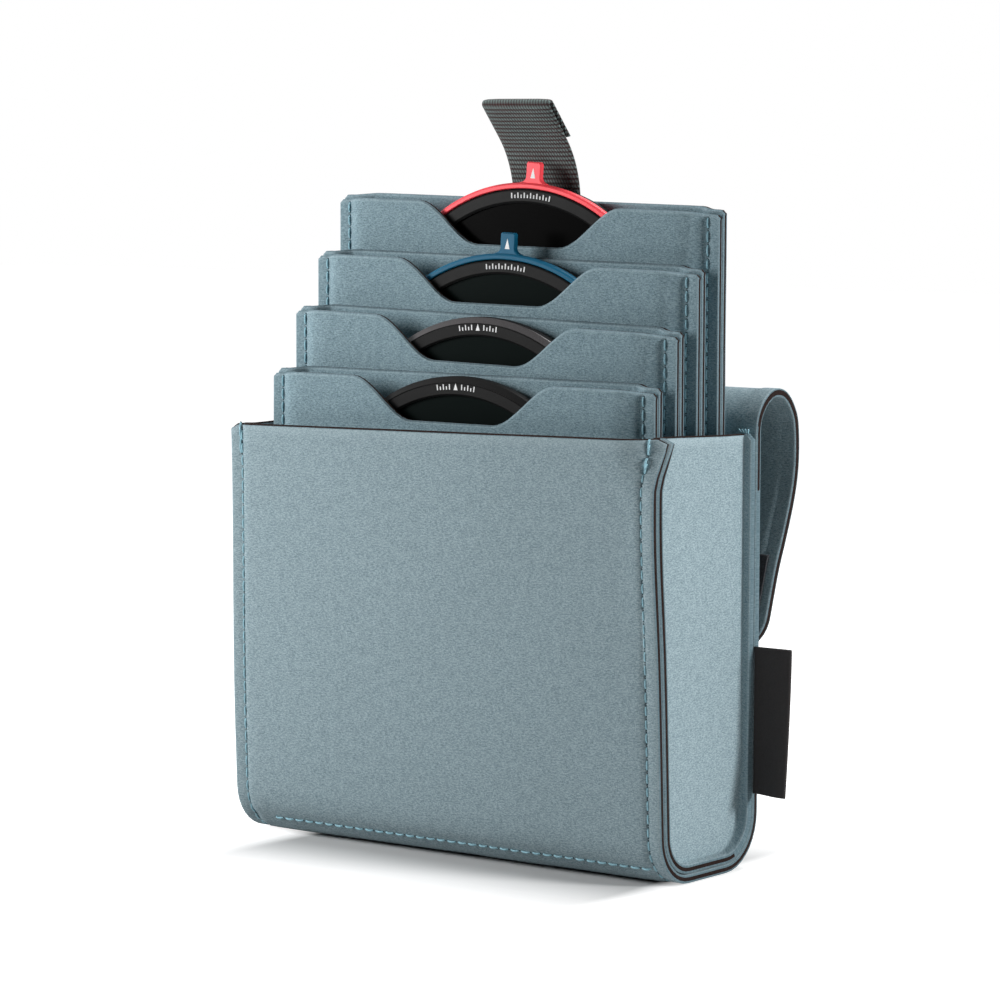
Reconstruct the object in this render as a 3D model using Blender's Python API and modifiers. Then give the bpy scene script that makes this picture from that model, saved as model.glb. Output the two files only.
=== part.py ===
"""Lens filter case: a foam-cored pouch with a fold-back flap, four stepped sleeves and their round filters.

Run it with blender --background --python part.py, or from Blender's text editor. Lengths are in metres and
+Z is up. The case stands on its base, +X is its right-hand side and +Y its back. The origin is the middle of
the base. Sleeve 1 is the front one and sleeve 4 the rear one, which carries the pull tab.
"""

import math

import bmesh
import bpy
from mathutils import Matrix, Vector

# Fit between pieces that touch, and the laminate that everything soft is cut from
GAP = 0.0003
LAMINATE = 0.0020
SLEEVE_SKIN = 0.0016

# Points closer than this are one point
WELD = 0.00001

# Pouch
FRONT_LEAN = 0.0045
RIM_OVER_SLEEVES = 0.0010
FRONT_CORNER_RADIUS = 0.012
REAR_CORNER_RADIUS = 0.013
SEAM_FLANGE = 0.0032
SLEEVE_SIDE_ROOM = 0.0008
SLEEVE_FRONT_ROOM = 0.0001
CORNER_STEPS = 6

# Flap: it grows out of the back panel, bends over in an arch and comes down behind
FLAP_ROOT_RISE = 0.003
FLAP_RUNS = {
    "flap_root_strip": (0.0042, 0.0048),
    "flap_arch_strip": (0.0042, 0.0042),
    "flap_upper_leg": (0.0050, 0.0170),
}
BEND_TURN = math.radians(31.25)
LEG_TURN = math.radians(10)
PAST_STRAIGHT = math.radians(45)
FLAP_CORNER_RADIUS = 0.009
FLAP_CORNER_STEPS = 5

# Hook patches, one on each face of the flap's tip
HOOK_LENGTH = 0.019
HOOK_THICKNESS = 0.0008
HOOK_SIDE_MARGIN = 0.0030
HOOK_TIP_MARGIN = 0.0045
HOOK_CORNER_RADIUS = 0.0015
HOOK_CORNER_STEPS = 3

# Woven label, folded into the right rear seam
LABEL_REACH = 0.0092
LABEL_HEIGHT = 0.0345
LABEL_BOTTOM = 0.0175
LABEL_THICKNESS = 0.0008
LABEL_CORNER_STEPS = 2

# Sleeves
SLEEVE_COUNT = 4
SLEEVE_STEP = 0.0137
SLEEVE_STOWED_BOTTOM = 0.0050
SLEEVE_SEAM = 0.0035
FILTER_SIDE_ROOM = 0.0025
LEVER_FILTER_PEEK = 0.0035
SIDE_SWELL_RUN = 0.0045
FOOT_SEAM = 0.0020
FOOT_SWELL_RUN = 0.0040
SWELL_STEPS = 3
NOTCH_DEPTH = 0.0100
NOTCH_FLOOR_HALF_WIDTH = 0.012
NOTCH_TOP_HALF_WIDTH = 0.030
NOTCH_STEPS = 5

# Lift webs, which join each sleeve's foot to the next one
WEB_SIDE_INSET = 0.0035
WEB_THICKNESS = 0.0006
WEB_HEM = 0.0030
WEB_ANCHOR_LOW = math.radians(235)
WEB_ANCHOR_HIGH = math.radians(212)
WEB_ANCHOR_RISE = 0.0040

# Pull tab
TAB_WIDTH = 0.020
TAB_THICKNESS = 0.0012
TAB_SEWN_LENGTH = 0.025
TAB_ROOT_RISE = 0.0010
TAB_ROOT_LEAN = math.radians(5)
TAB_TIP_LEAN = math.radians(48)
TAB_CURVE_RADIUS = 0.024
TAB_CURVE_STEPS = 6
TAB_STRAIGHT = 0.006
TAB_FOLD_GAP = 0.0004
TAB_FOLD_STEPS = 4
TAB_FOLD_LENGTH = 0.009

# Filters: two base filters in front, two lever filters behind
FILTER_THICKNESS = 0.0045
FILTER_REST = 0.0075
FILTER_SETTLED = {3: -0.0013, 4: 0.0008}
RING_STEPS = 40
EDGE_BREAK = 0.0005
GLASS_THICKNESS = 0.0014
LIP_DEPTH = 0.0008
BASE_RADIUS = 0.044
BASE_RIM_DEPTH = 0.0030
BASE_RIM_CHAMFER = 0.0006
BASE_THREAD_STEP = 0.0030
BASE_RIM_WIDTH = 0.0045
LIP_OVERLAP = 0.0007
RETAINER_WALL = 0.0010
RETAINER_DEPTH = 0.0012
LEVER_RADIUS = 0.046
COLOUR_BAND = 0.0014
COLOUR_DEPTH = 0.0020
CARRIER_WIDTH = 0.0032
LEVER_RISE = 0.0050
LEVER_HALF_WIDTH = 0.0021
LEVER_FLARE = 0.0017
LEVER_FLARE_RISE = 0.0015
LEVER_THICKNESS = 0.0013
LEVER_TURNS = {3: math.radians(2.2), 4: math.radians(3.6)}
LEVER_ROOT = 0.0008
FLARE_STEPS = 3

# Sizes that follow: the filters set the sleeves' size, and the sleeves set the pouch's
BASE_WINDOW_RADIUS = BASE_RADIUS - BASE_RIM_WIDTH
BASE_THREAD_RADIUS = BASE_RADIUS - BASE_THREAD_STEP
CARRIER_RADIUS = LEVER_RADIUS - COLOUR_BAND - GAP
CARRIER_BACK_RADIUS = LEVER_RADIUS - EDGE_BREAK
LEVER_WINDOW_RADIUS = CARRIER_RADIUS - CARRIER_WIDTH
POCKET_HALF_WIDTH = LEVER_RADIUS + FILTER_SIDE_ROOM
SWELL = FILTER_THICKNESS / 2
SEAM_HALF_THICKNESS = GAP / 2 + SLEEVE_SKIN
SLEEVE_HALF_THICKNESS = GAP + SWELL + SLEEVE_SKIN
SLEEVE_HALF_WIDTH = POCKET_HALF_WIDTH + SIDE_SWELL_RUN + SLEEVE_SEAM
SLEEVE_HEIGHT = FILTER_REST + 2 * LEVER_RADIUS - LEVER_FILTER_PEEK
SLEEVE_PITCH = 2 * SLEEVE_HALF_THICKNESS + GAP
WEB_WIDTH = 2 * (SLEEVE_HALF_WIDTH - WEB_SIDE_INSET)
WALL_INSIDE = SLEEVE_HALF_WIDTH + SLEEVE_SIDE_ROOM
WALL_OUTSIDE = WALL_INSIDE + LAMINATE
CASE_WIDTH = 2 * (WALL_OUTSIDE + SEAM_FLANGE)
TAB_SPACE = GAP + TAB_THICKNESS + GAP
CASE_DEPTH = 2 * LAMINATE + SLEEVE_FRONT_ROOM + SLEEVE_COUNT * SLEEVE_PITCH - GAP + TAB_SPACE
RIM_HEIGHT = SLEEVE_STOWED_BOTTOM + SLEEVE_HEIGHT + RIM_OVER_SLEEVES

# Places that follow from those sizes
LEAN_ANGLE = math.atan2(FRONT_LEAN, RIM_HEIGHT)
BACK_FACE = CASE_DEPTH / 2
BACK_INSIDE = BACK_FACE - LAMINATE
BACK_MIDDLE = BACK_FACE - LAMINATE / 2
FRONT_CORNER_CENTRE = (
    -CASE_DEPTH / 2 + FRONT_CORNER_RADIUS * math.tan((math.pi / 2 - LEAN_ANGLE) / 2),
    FRONT_CORNER_RADIUS,
)
REAR_CORNER_CENTRE = (BACK_FACE - REAR_CORNER_RADIUS, REAR_CORNER_RADIUS)
FLAP_ROOT = RIM_HEIGHT + FLAP_ROOT_RISE
REAR_SLEEVE_Y = BACK_INSIDE - TAB_SPACE - SLEEVE_HALF_THICKNESS

# Colours as the photograph shows them, in linear light
KNIT = (0.255, 0.385, 0.435)
LINING = (0.190, 0.300, 0.345)
HOOK = (0.012, 0.013, 0.016)
LABEL = (0.010, 0.007, 0.008)
WEBBING = (0.055, 0.085, 0.085)
ANODISED = (0.022, 0.022, 0.024)
RED = (0.870, 0.085, 0.110)
BLUE = (0.012, 0.135, 0.315)
GLASS = (0.006, 0.009, 0.009)


def material(name, colour, roughness, metallic=0.0):
    """A Principled material, made once for each name."""
    found = bpy.data.materials.get(name)
    if found:
        return found
    made = bpy.data.materials.new(name)
    made.use_nodes = True
    shader = made.node_tree.nodes["Principled BSDF"]
    shader.inputs["Base Color"].default_value = (*colour, 1.0)
    shader.inputs["Roughness"].default_value = roughness
    shader.inputs["Metallic"].default_value = metallic
    made.diffuse_color = (*colour, 1.0)
    return made


def collection(name):
    made = bpy.data.collections.get(name) or bpy.data.collections.new(name)
    if made.name not in bpy.context.scene.collection.children:
        bpy.context.scene.collection.children.link(made)
    return made


def add(name, data, finish=None, parent=None, group="lens_filter_case"):
    """An object for this data, in its collection, under its parent."""
    made = bpy.data.objects.new(name, data)
    collection(group).objects.link(made)
    made.parent = parent
    if finish:
        data.materials.append(finish)
    return made


def pivot(name, place, parent=None, turn=0.0):
    """An empty that a moving group hangs from: its place, and its turn about X."""
    made = add(name, None, parent=parent)
    made.empty_display_size = LAMINATE
    made.location = place
    made.rotation_euler.x = turn
    return made


def thicken(item, thickness):
    """Gives an open sheet its thickness, on the side that its faces look to."""
    shell = item.modifiers.new("thickness", "SOLIDIFY")
    shell.thickness = thickness
    shell.offset = 1
    shell.use_even_offset = True
    return item


def mesh_from(shape, name):
    mesh = bpy.data.meshes.new(name)
    shape.to_mesh(mesh)
    shape.free()
    return mesh


def sheet(name, columns, rows, place, thickness, finish, parent=None):
    """A grid sheet whose crossing (i, j) lies at place(i, j); it thickens towards i cross j."""
    shape = bmesh.new()
    bmesh.ops.create_grid(shape, x_segments=columns - 1, y_segments=rows - 1, size=1)
    for vert in shape.verts:
        i = round((vert.co.x + 1) / 2 * (columns - 1))
        j = round((vert.co.y + 1) / 2 * (rows - 1))
        vert.co = place(i, j)
    return thicken(add(name, mesh_from(shape, name), finish, parent), thickness)


def plate(name, outline, thickness, finish, parent=None, group="lens_filter_case"):
    """A flat outline filled and given half its thickness each way."""
    curve = bpy.data.curves.new(name, "CURVE")
    curve.dimensions = "2D"
    curve.fill_mode = "BOTH"
    curve.extrude = thickness / 2
    line = curve.splines.new("POLY")
    line.points.add(len(outline) - 1)
    for point, (x, y) in zip(line.points, outline):
        point.co = (x, y, 0, 1)
    line.use_cyclic_u = True
    return add(name, curve, finish, parent, group)


def ring(name, profile, finish, parent):
    """A turned ring: a closed profile of (radius, height), which runs down its outer side."""
    shape = bmesh.new()
    verts = [shape.verts.new((radius, 0, height)) for radius, height in profile]
    for first, second in zip(verts, verts[1:] + verts[:1]):
        shape.edges.new((first, second))
    made = add(name, mesh_from(shape, name), finish, parent)
    made.rotation_euler.x = math.pi / 2
    turned = made.modifiers.new("turn", "SCREW")
    turned.steps = RING_STEPS
    turned.render_steps = RING_STEPS
    turned.use_merge_vertices = True
    turned.merge_threshold = WELD
    turned.use_smooth_shade = False
    return made


def disc(name, radius, depth, height, finish, parent):
    """A round plate whose middle lies at this height on the ring axis."""
    shape = bmesh.new()
    bmesh.ops.create_cone(
        shape, cap_ends=True, segments=RING_STEPS, radius1=radius, radius2=radius, depth=depth,
        matrix=Matrix.Translation((0, 0, height)),
    )
    made = add(name, mesh_from(shape, name), finish, parent)
    made.rotation_euler.x = math.pi / 2
    return made


def arc(centre, radius, start, end, steps):
    """Points of an arc; angles run from the first axis towards the second."""
    angles = [start + (end - start) * k / steps for k in range(steps + 1)]
    return [(centre[0] + radius * math.cos(a), centre[1] + radius * math.sin(a)) for a in angles]


def rounded(half_width, low, high, radius, steps, all_corners=True):
    """An outline about the second axis with round corners, at its top only or at all four."""
    points = arc((half_width - radius, high - radius), radius, 0, math.pi / 2, steps)
    points += arc((radius - half_width, high - radius), radius, math.pi / 2, math.pi, steps)
    if not all_corners:
        return points + [(-half_width, low), (half_width, low)]
    points += arc((radius - half_width, low + radius), radius, math.pi, 3 * math.pi / 2, steps)
    return points + arc((half_width - radius, low + radius), radius, -math.pi / 2, 0, steps)


def swell_share(distance, run):
    """How far a sheet has risen from a seam this distance away, from 0 to 1."""
    share = min(max(distance / run, 0), 1)
    return share * share * (3 - 2 * share)


def pouch_section(inset, back_top):
    """The pouch's U in Y and Z, from the front rim to the back's top, this far inside its outer face."""
    front_top = -BACK_FACE - FRONT_LEAN + inset / math.cos(LEAN_ANGLE)
    points = [(front_top, RIM_HEIGHT)]
    points += arc(
        FRONT_CORNER_CENTRE, FRONT_CORNER_RADIUS - inset, math.pi + LEAN_ANGLE, 3 * math.pi / 2, CORNER_STEPS
    )
    points += arc(REAR_CORNER_CENTRE, REAR_CORNER_RADIUS - inset, -math.pi / 2, 0, CORNER_STEPS)
    return points + [(BACK_FACE - inset, back_top)]


def wrap_panel(knit):
    """One strip makes the front, the base and the back, and runs on past the rim to the flap."""
    section = pouch_section(0, FLAP_ROOT - GAP / 2)

    def place(i, j):
        y, z = section[j]
        return Vector(((i - 1 / 2) * CASE_WIDTH, y, z))

    return sheet("wrap_panel", 2, len(section), place, LAMINATE, knit)


def side_panel(name, side, knit):
    """A wall that fills the U, with a flange turned outward round it for the seam."""
    section = pouch_section(LAMINATE + GAP, RIM_HEIGHT)
    shape = bmesh.new()
    verts = [shape.verts.new((side * WALL_INSIDE, y, z)) for y, z in section]
    seam = [shape.edges.new(pair) for pair in zip(verts, verts[1:])]
    bmesh.ops.contextual_create(shape, geom=verts)
    turned = bmesh.ops.extrude_edge_only(shape, edges=seam)
    moved = [item for item in turned["geom"] if isinstance(item, bmesh.types.BMVert)]
    flange_width = CASE_WIDTH / 2 - WALL_INSIDE
    bmesh.ops.translate(shape, verts=moved, vec=(side * flange_width, 0, 0))
    bmesh.ops.recalc_face_normals(shape, faces=shape.faces)
    wall = max(shape.faces, key=lambda face: face.calc_area())
    if wall.normal.x * side < 0:
        bmesh.ops.reverse_faces(shape, faces=shape.faces)
    return thicken(add(name, mesh_from(shape, name), knit), LAMINATE)


def seam_label(finish):
    """A bare woven label that stands out of the right rear seam."""
    middle_x = CASE_WIDTH / 2 + GAP + LABEL_REACH / 2
    outline = rounded(LABEL_REACH / 2, 0, LABEL_HEIGHT, LABEL_THICKNESS / 2, LABEL_CORNER_STEPS)
    made = plate("seam_label", outline, LABEL_THICKNESS, finish)
    made.location = (middle_x, BACK_INSIDE - GAP / 2, LABEL_BOTTOM)
    made.rotation_euler.x = math.pi / 2
    return made


def section_plate(name, outline, finish, parent):
    """A full-width strip of the case with this outline in its parent's Y and Z."""
    made = plate(name, outline, CASE_WIDTH, finish, parent)
    made.rotation_euler = (math.pi / 2, 0, math.pi / 2)
    return made


def bent_strip_outline(runs, foot_front):
    """A strip of two straight runs with a bend between, cut back at its foot so that it can turn both ways."""
    first, second = runs
    half = LAMINATE / 2
    corner = half * math.tan(BEND_TURN / 2)
    along = Vector((math.sin(BEND_TURN), math.cos(BEND_TURN)))
    inward = Vector((math.cos(BEND_TURN), -math.sin(BEND_TURN)))
    end = Vector((0, first)) + along * (second - GAP / 2)
    foot = GAP / 2
    return [
        (0, foot),
        (half, foot + half * math.tan(BEND_TURN)),
        (half, first - corner),
        tuple(end + inward * half),
        tuple(end - inward * half),
        (-half, first + corner),
        (-half, foot + half * math.tan(foot_front)),
    ]


def flap(knit, hook):
    """The flap as a chain of strips, each hung on the mid-plane of the laminate at the end of the last."""
    half = LAMINATE / 2
    hinge = pivot("flap_hinge_1", (0, BACK_MIDDLE, FLAP_ROOT), turn=-BEND_TURN)
    for k, (name, runs) in enumerate(FLAP_RUNS.items(), start=1):
        outline = bent_strip_outline(runs, 0 if k == 1 else PAST_STRAIGHT)
        section_plate(name, outline, knit, hinge)
        first, second = runs
        end = (0, second * math.sin(BEND_TURN), first + second * math.cos(BEND_TURN))
        turn = BEND_TURN + (LEG_TURN if k == len(FLAP_RUNS) else BEND_TURN)
        hinge = pivot(f"flap_hinge_{k + 1}", end, hinge, -turn)

    tip_length = flap_tip_length()
    foot = GAP / 2 + half * math.tan(LEG_TURN)
    outline = rounded(CASE_WIDTH / 2, foot, tip_length, FLAP_CORNER_RADIUS, FLAP_CORNER_STEPS, False)
    tip = plate("flap_tip_panel", outline, LAMINATE, knit, hinge)
    tip.rotation_euler.x = math.pi / 2

    hook_high = tip_length - HOOK_TIP_MARGIN
    hook_outline = rounded(
        CASE_WIDTH / 2 - HOOK_SIDE_MARGIN, hook_high - HOOK_LENGTH, hook_high, HOOK_CORNER_RADIUS,
        HOOK_CORNER_STEPS,
    )
    hook_middle = half + GAP + HOOK_THICKNESS / 2
    for name, facing in (("hook_patch_fold_back", 1), ("hook_patch_closing", -1)):
        patch = plate(name, hook_outline, HOOK_THICKNESS, hook, hinge)
        patch.location.y = facing * hook_middle
        patch.rotation_euler.x = math.pi / 2


def flap_tip_length():
    """How long the tip panel is, for its end to meet the back panel's outside."""
    heading, y = 0.0, BACK_MIDDLE
    for runs in FLAP_RUNS.values():
        for length in runs:
            heading += BEND_TURN
            y += length * math.sin(heading)
    heading += LEG_TURN
    return (y + LAMINATE / 2 * math.cos(heading) - BACK_FACE - GAP) / -math.sin(heading)


def mirrored(distances):
    """Distances from the middle, on both sides of it, in order."""
    return [-d for d in sorted(distances, reverse=True)] + sorted(d for d in distances if d)


def notch_drop(x):
    """How far the front panel's top edge dips at this distance from the middle."""
    run = NOTCH_TOP_HALF_WIDTH - NOTCH_FLOOR_HALF_WIDTH
    return NOTCH_DEPTH * (1 - swell_share(abs(x) - NOTCH_FLOOR_HALF_WIDTH, run))


def sleeve_panel(name, facing, knit, parent):
    """Half a sleeve: flat seams at its sides and foot, and a swollen middle that clears the filter."""
    swell_start = SLEEVE_HALF_WIDTH - SLEEVE_SEAM
    columns = [SLEEVE_HALF_WIDTH]
    columns += [swell_start - SIDE_SWELL_RUN * k / SWELL_STEPS for k in range(SWELL_STEPS + 1)]
    if facing < 0:
        run = NOTCH_TOP_HALF_WIDTH - NOTCH_FLOOR_HALF_WIDTH
        columns += [NOTCH_FLOOR_HALF_WIDTH + run * k / NOTCH_STEPS for k in range(NOTCH_STEPS + 1)]
    across = mirrored(columns)[:: -facing]
    heights = [0] + [FOOT_SEAM + FOOT_SWELL_RUN * k / SWELL_STEPS for k in range(SWELL_STEPS + 1)]

    def place(i, j):
        x = across[i]
        top = SLEEVE_HEIGHT - (notch_drop(x) if facing < 0 else 0)
        z = heights[j] if j < len(heights) else top
        side = swell_share(swell_start - abs(x), SIDE_SWELL_RUN)
        foot = swell_share(z - FOOT_SEAM, FOOT_SWELL_RUN)
        inner = GAP / 2 + (SWELL + GAP / 2) * side * foot
        return Vector((x, facing * inner, z))

    return sheet(name, len(across), len(heights) + 1, place, SLEEVE_SKIN, knit, parent)


def lift_web(number, sleeve_y, sleeve_foot, lining):
    """A strip of lining from the foot of the sleeve in front, or the pouch's corner, to this sleeve's foot."""
    drop = GAP + WEB_THICKNESS / 2
    end_low = (sleeve_y - SEAM_HALF_THICKNESS - GAP, sleeve_foot - drop)
    end = (sleeve_y - GAP, sleeve_foot - drop)
    if number == 1:
        reach = FRONT_CORNER_RADIUS - LAMINATE - drop
        start = arc(FRONT_CORNER_CENTRE, reach, WEB_ANCHOR_LOW, WEB_ANCHOR_HIGH, 2)
        start.append((start[-1][0], start[-1][1] + WEB_ANCHOR_RISE))
    else:
        front_y, front_foot = sleeve_y - SLEEVE_PITCH, sleeve_foot - SLEEVE_STEP - drop
        start = [(front_y + GAP, front_foot), (front_y + WEB_HEM - drop / 2, front_foot)]
    path = start + [end_low, end]

    def place(i, j):
        y, z = path[j]
        return Vector(((i - 1 / 2) * WEB_WIDTH, y, z))

    web = sheet(f"lift_web_{number}", 2, len(path), place, WEB_THICKNESS, lining)
    web.modifiers["thickness"].offset = 0
    return web


def glass_top():
    return FILTER_THICKNESS / 2 - LIP_DEPTH - GAP


def filter_glass(number, window, finish, parent):
    radius = window + LIP_OVERLAP - GAP
    return disc(f"filter_glass_{number}", radius, GLASS_THICKNESS, glass_top() - GLASS_THICKNESS / 2, finish, parent)


def retaining_ring(number, window, finish, parent):
    """The plain ring behind the glass that holds it against its lip."""
    outer = window + LIP_OVERLAP - GAP
    high = glass_top() - GLASS_THICKNESS - GAP
    low = high - RETAINER_DEPTH
    profile = [(outer - RETAINER_WALL, high), (outer, high), (outer, low), (outer - RETAINER_WALL, low)]
    return ring(f"retaining_ring_{number}", profile, finish, parent)


def base_filter(number, black, glass, parent):
    """A base filter: a chamfered rim, a step down to the thread behind, and the glass in its pocket."""
    front, back = FILTER_THICKNESS / 2, -FILTER_THICKNESS / 2
    rim_back = front - BASE_RIM_DEPTH - EDGE_BREAK
    pocket = BASE_WINDOW_RADIUS + LIP_OVERLAP
    profile = [
        (BASE_WINDOW_RADIUS, front),
        (BASE_RADIUS - BASE_RIM_CHAMFER, front),
        (BASE_RADIUS, front - BASE_RIM_CHAMFER),
        (BASE_RADIUS, rim_back + EDGE_BREAK),
        (BASE_RADIUS - EDGE_BREAK, rim_back),
        (BASE_THREAD_RADIUS, rim_back),
        (BASE_THREAD_RADIUS, back),
        (pocket, back),
        (pocket, front - LIP_DEPTH),
        (BASE_WINDOW_RADIUS, front - LIP_DEPTH),
    ]
    ring(f"filter_frame_{number}", profile, black, parent)
    filter_glass(number, BASE_WINDOW_RADIUS, glass, parent)
    retaining_ring(number, BASE_WINDOW_RADIUS, black, parent)


def lever_outline():
    """The lever that stands up from a colour ring: a straight finger on a flared root."""
    tip = LEVER_RADIUS + LEVER_RISE
    foot = LEVER_RADIUS - LEVER_ROOT
    half_root = LEVER_HALF_WIDTH + LEVER_FLARE
    flare = [
        (
            half_root - LEVER_FLARE * math.sin(math.pi / 2 * k / FLARE_STEPS),
            LEVER_RADIUS + LEVER_FLARE_RISE * (1 - math.cos(math.pi / 2 * k / FLARE_STEPS)),
        )
        for k in range(FLARE_STEPS + 1)
    ]
    right = [(half_root, foot), *flare, (LEVER_HALF_WIDTH, tip - EDGE_BREAK), (LEVER_HALF_WIDTH - EDGE_BREAK, tip)]
    return right + [(-x, y) for x, y in reversed(right)]


def cutter_mesh(source):
    """The evaluated curve as a mesh object of its own, with its caps welded, kept out of the model."""
    graph = bpy.context.evaluated_depsgraph_get()
    mesh = bpy.data.meshes.new_from_object(source.evaluated_get(graph))
    shape = bmesh.new()
    shape.from_mesh(mesh)
    bmesh.ops.remove_doubles(shape, verts=shape.verts, dist=WELD)
    shape.to_mesh(mesh)
    shape.free()
    made = add(source.name + "_solid", mesh, parent=source.parent, group="cutters")
    made.matrix_world = source.matrix_world.copy()
    made.hide_render = True
    made.display_type = "WIRE"
    bpy.data.objects.remove(source)
    return made


def lever_filter(number, colour, black, glass, parent):
    """A lever filter: a coloured band with its lever, the black carrier that it turns on, and the glass."""
    front, back = FILTER_THICKNESS / 2, -FILTER_THICKNESS / 2
    inner = LEVER_RADIUS - COLOUR_BAND
    band_back = front - COLOUR_DEPTH
    band_profile = [
        (inner, front),
        (LEVER_RADIUS - EDGE_BREAK, front),
        (LEVER_RADIUS, front - EDGE_BREAK),
        (LEVER_RADIUS, band_back + EDGE_BREAK),
        (LEVER_RADIUS - EDGE_BREAK, band_back),
        (inner, band_back),
    ]
    band = ring(f"colour_ring_{number}", band_profile, colour, parent)
    lever = plate(f"lever_{number}", lever_outline(), LEVER_THICKNESS, None, parent, "cutters")
    lever.rotation_euler = (math.pi / 2, LEVER_TURNS[number], 0)
    lever.location.y = -(front - EDGE_BREAK - LEVER_THICKNESS / 2)
    bpy.context.view_layer.update()
    joined = band.modifiers.new("lever", "BOOLEAN")
    joined.operation = "UNION"
    joined.solver = "EXACT"
    joined.object = cutter_mesh(lever)

    pocket = LEVER_WINDOW_RADIUS + LIP_OVERLAP
    carrier_profile = [
        (LEVER_WINDOW_RADIUS, front),
        (CARRIER_RADIUS, front),
        (CARRIER_RADIUS, band_back - GAP),
        (CARRIER_BACK_RADIUS, band_back - GAP),
        (CARRIER_BACK_RADIUS, back),
        (pocket, back),
        (pocket, front - LIP_DEPTH),
        (LEVER_WINDOW_RADIUS, front - LIP_DEPTH),
    ]
    ring(f"filter_carrier_{number}", carrier_profile, black, parent)
    filter_glass(number, LEVER_WINDOW_RADIUS, glass, parent)
    retaining_ring(number, LEVER_WINDOW_RADIUS, black, parent)


def tab_path():
    """The free webbing in Y and Z from its root: a forward curve, a straight, and the end folded back."""
    centre = (-TAB_CURVE_RADIUS * math.cos(TAB_ROOT_LEAN), -TAB_CURVE_RADIUS * math.sin(TAB_ROOT_LEAN))
    curve = arc(centre, TAB_CURVE_RADIUS, TAB_ROOT_LEAN, TAB_TIP_LEAN, TAB_CURVE_STEPS)
    along = Vector((-math.sin(TAB_TIP_LEAN), math.cos(TAB_TIP_LEAN)))
    across = Vector((math.cos(TAB_TIP_LEAN), math.sin(TAB_TIP_LEAN)))
    end = Vector(curve[-1]) + along * TAB_STRAIGHT
    fold = (TAB_THICKNESS + TAB_FOLD_GAP) / 2
    turn = [
        end + across * fold * (1 - math.cos(a)) + along * fold * math.sin(a)
        for a in (math.pi * k / TAB_FOLD_STEPS for k in range(TAB_FOLD_STEPS + 1))
    ]
    last = turn[-1] - along * TAB_FOLD_LENGTH
    return [tuple(p) for p in (*curve, *turn, last)]


def pull_tab(sleeve_top, parent, webbing):
    """Webbing sewn up the back of the rear sleeve, with a free end to grip."""
    y = REAR_SLEEVE_Y + SLEEVE_HALF_THICKNESS + GAP + TAB_THICKNESS / 2
    root = sleeve_top + TAB_ROOT_RISE
    low, high = sleeve_top - TAB_SEWN_LENGTH, root - GAP / 2
    outline = [(-TAB_WIDTH / 2, low), (TAB_WIDTH / 2, low), (TAB_WIDTH / 2, high), (-TAB_WIDTH / 2, high)]
    anchor = plate("pull_tab_anchor", outline, TAB_THICKNESS, webbing, parent)
    anchor.matrix_parent_inverse = Matrix.Translation(-parent.location)
    anchor.location = (0, y, 0)
    anchor.rotation_euler.x = math.pi / 2

    hinge = pivot("pull_tab_hinge", Vector((0, y, root)) - parent.location, parent)
    path = tab_path()

    def place(i, j):
        y_place, z_place = path[j]
        return Vector(((i - 1 / 2) * TAB_WIDTH, y_place, z_place + GAP / 2))

    grip = sheet("pull_tab_grip", 2, len(path), place, TAB_THICKNESS, webbing, hinge)
    grip.modifiers["thickness"].offset = 0
    return grip


def build():
    for item in list(bpy.data.objects):
        bpy.data.objects.remove(item, do_unlink=True)
    knit = material("knit_laminate", KNIT, 0.95)
    lining = material("lining", LINING, 0.9)
    hook = material("hook_tape", HOOK, 0.8)
    webbing = material("webbing", WEBBING, 0.8)
    black = material("anodised_black", ANODISED, 0.45, 0.6)
    glass = material("filter_glass", GLASS, 0.05)
    colours = {3: material("anodised_blue", BLUE, 0.4, 0.5), 4: material("anodised_red", RED, 0.4, 0.3)}

    wrap_panel(knit)
    side_panel("side_panel_left", -1, knit)
    side_panel("side_panel_right", 1, knit)
    seam_label(material("woven_label", LABEL, 0.8))
    flap(knit, hook)

    for number in range(1, SLEEVE_COUNT + 1):
        sleeve_y = REAR_SLEEVE_Y - (SLEEVE_COUNT - number) * SLEEVE_PITCH
        foot = SLEEVE_STOWED_BOTTOM + number * SLEEVE_STEP
        lift_web(number, sleeve_y, foot, lining)
        slide = pivot(f"sleeve_{number}", (0, sleeve_y, foot))
        sleeve_panel(f"sleeve_front_{number}", -1, knit, slide)
        sleeve_panel(f"sleeve_back_{number}", 1, knit, slide)
        radius = BASE_RADIUS if number not in colours else LEVER_RADIUS
        seat = FILTER_REST + FILTER_SETTLED.get(number, 0)
        held = pivot(f"filter_{number}", (0, 0, seat + radius), slide)
        if number in colours:
            lever_filter(number, colours[number], black, glass, held)
        else:
            base_filter(number, black, glass, held)
        if number == SLEEVE_COUNT:
            pull_tab(foot + SLEEVE_HEIGHT, slide, webbing)


build()
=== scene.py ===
"""The looks of the lens filter case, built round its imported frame.

Metres, +Z up, +X the case's right, +Y its back.
"""

import math

import bmesh
import bpy
from mathutils import Matrix, Vector, noise


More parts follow.
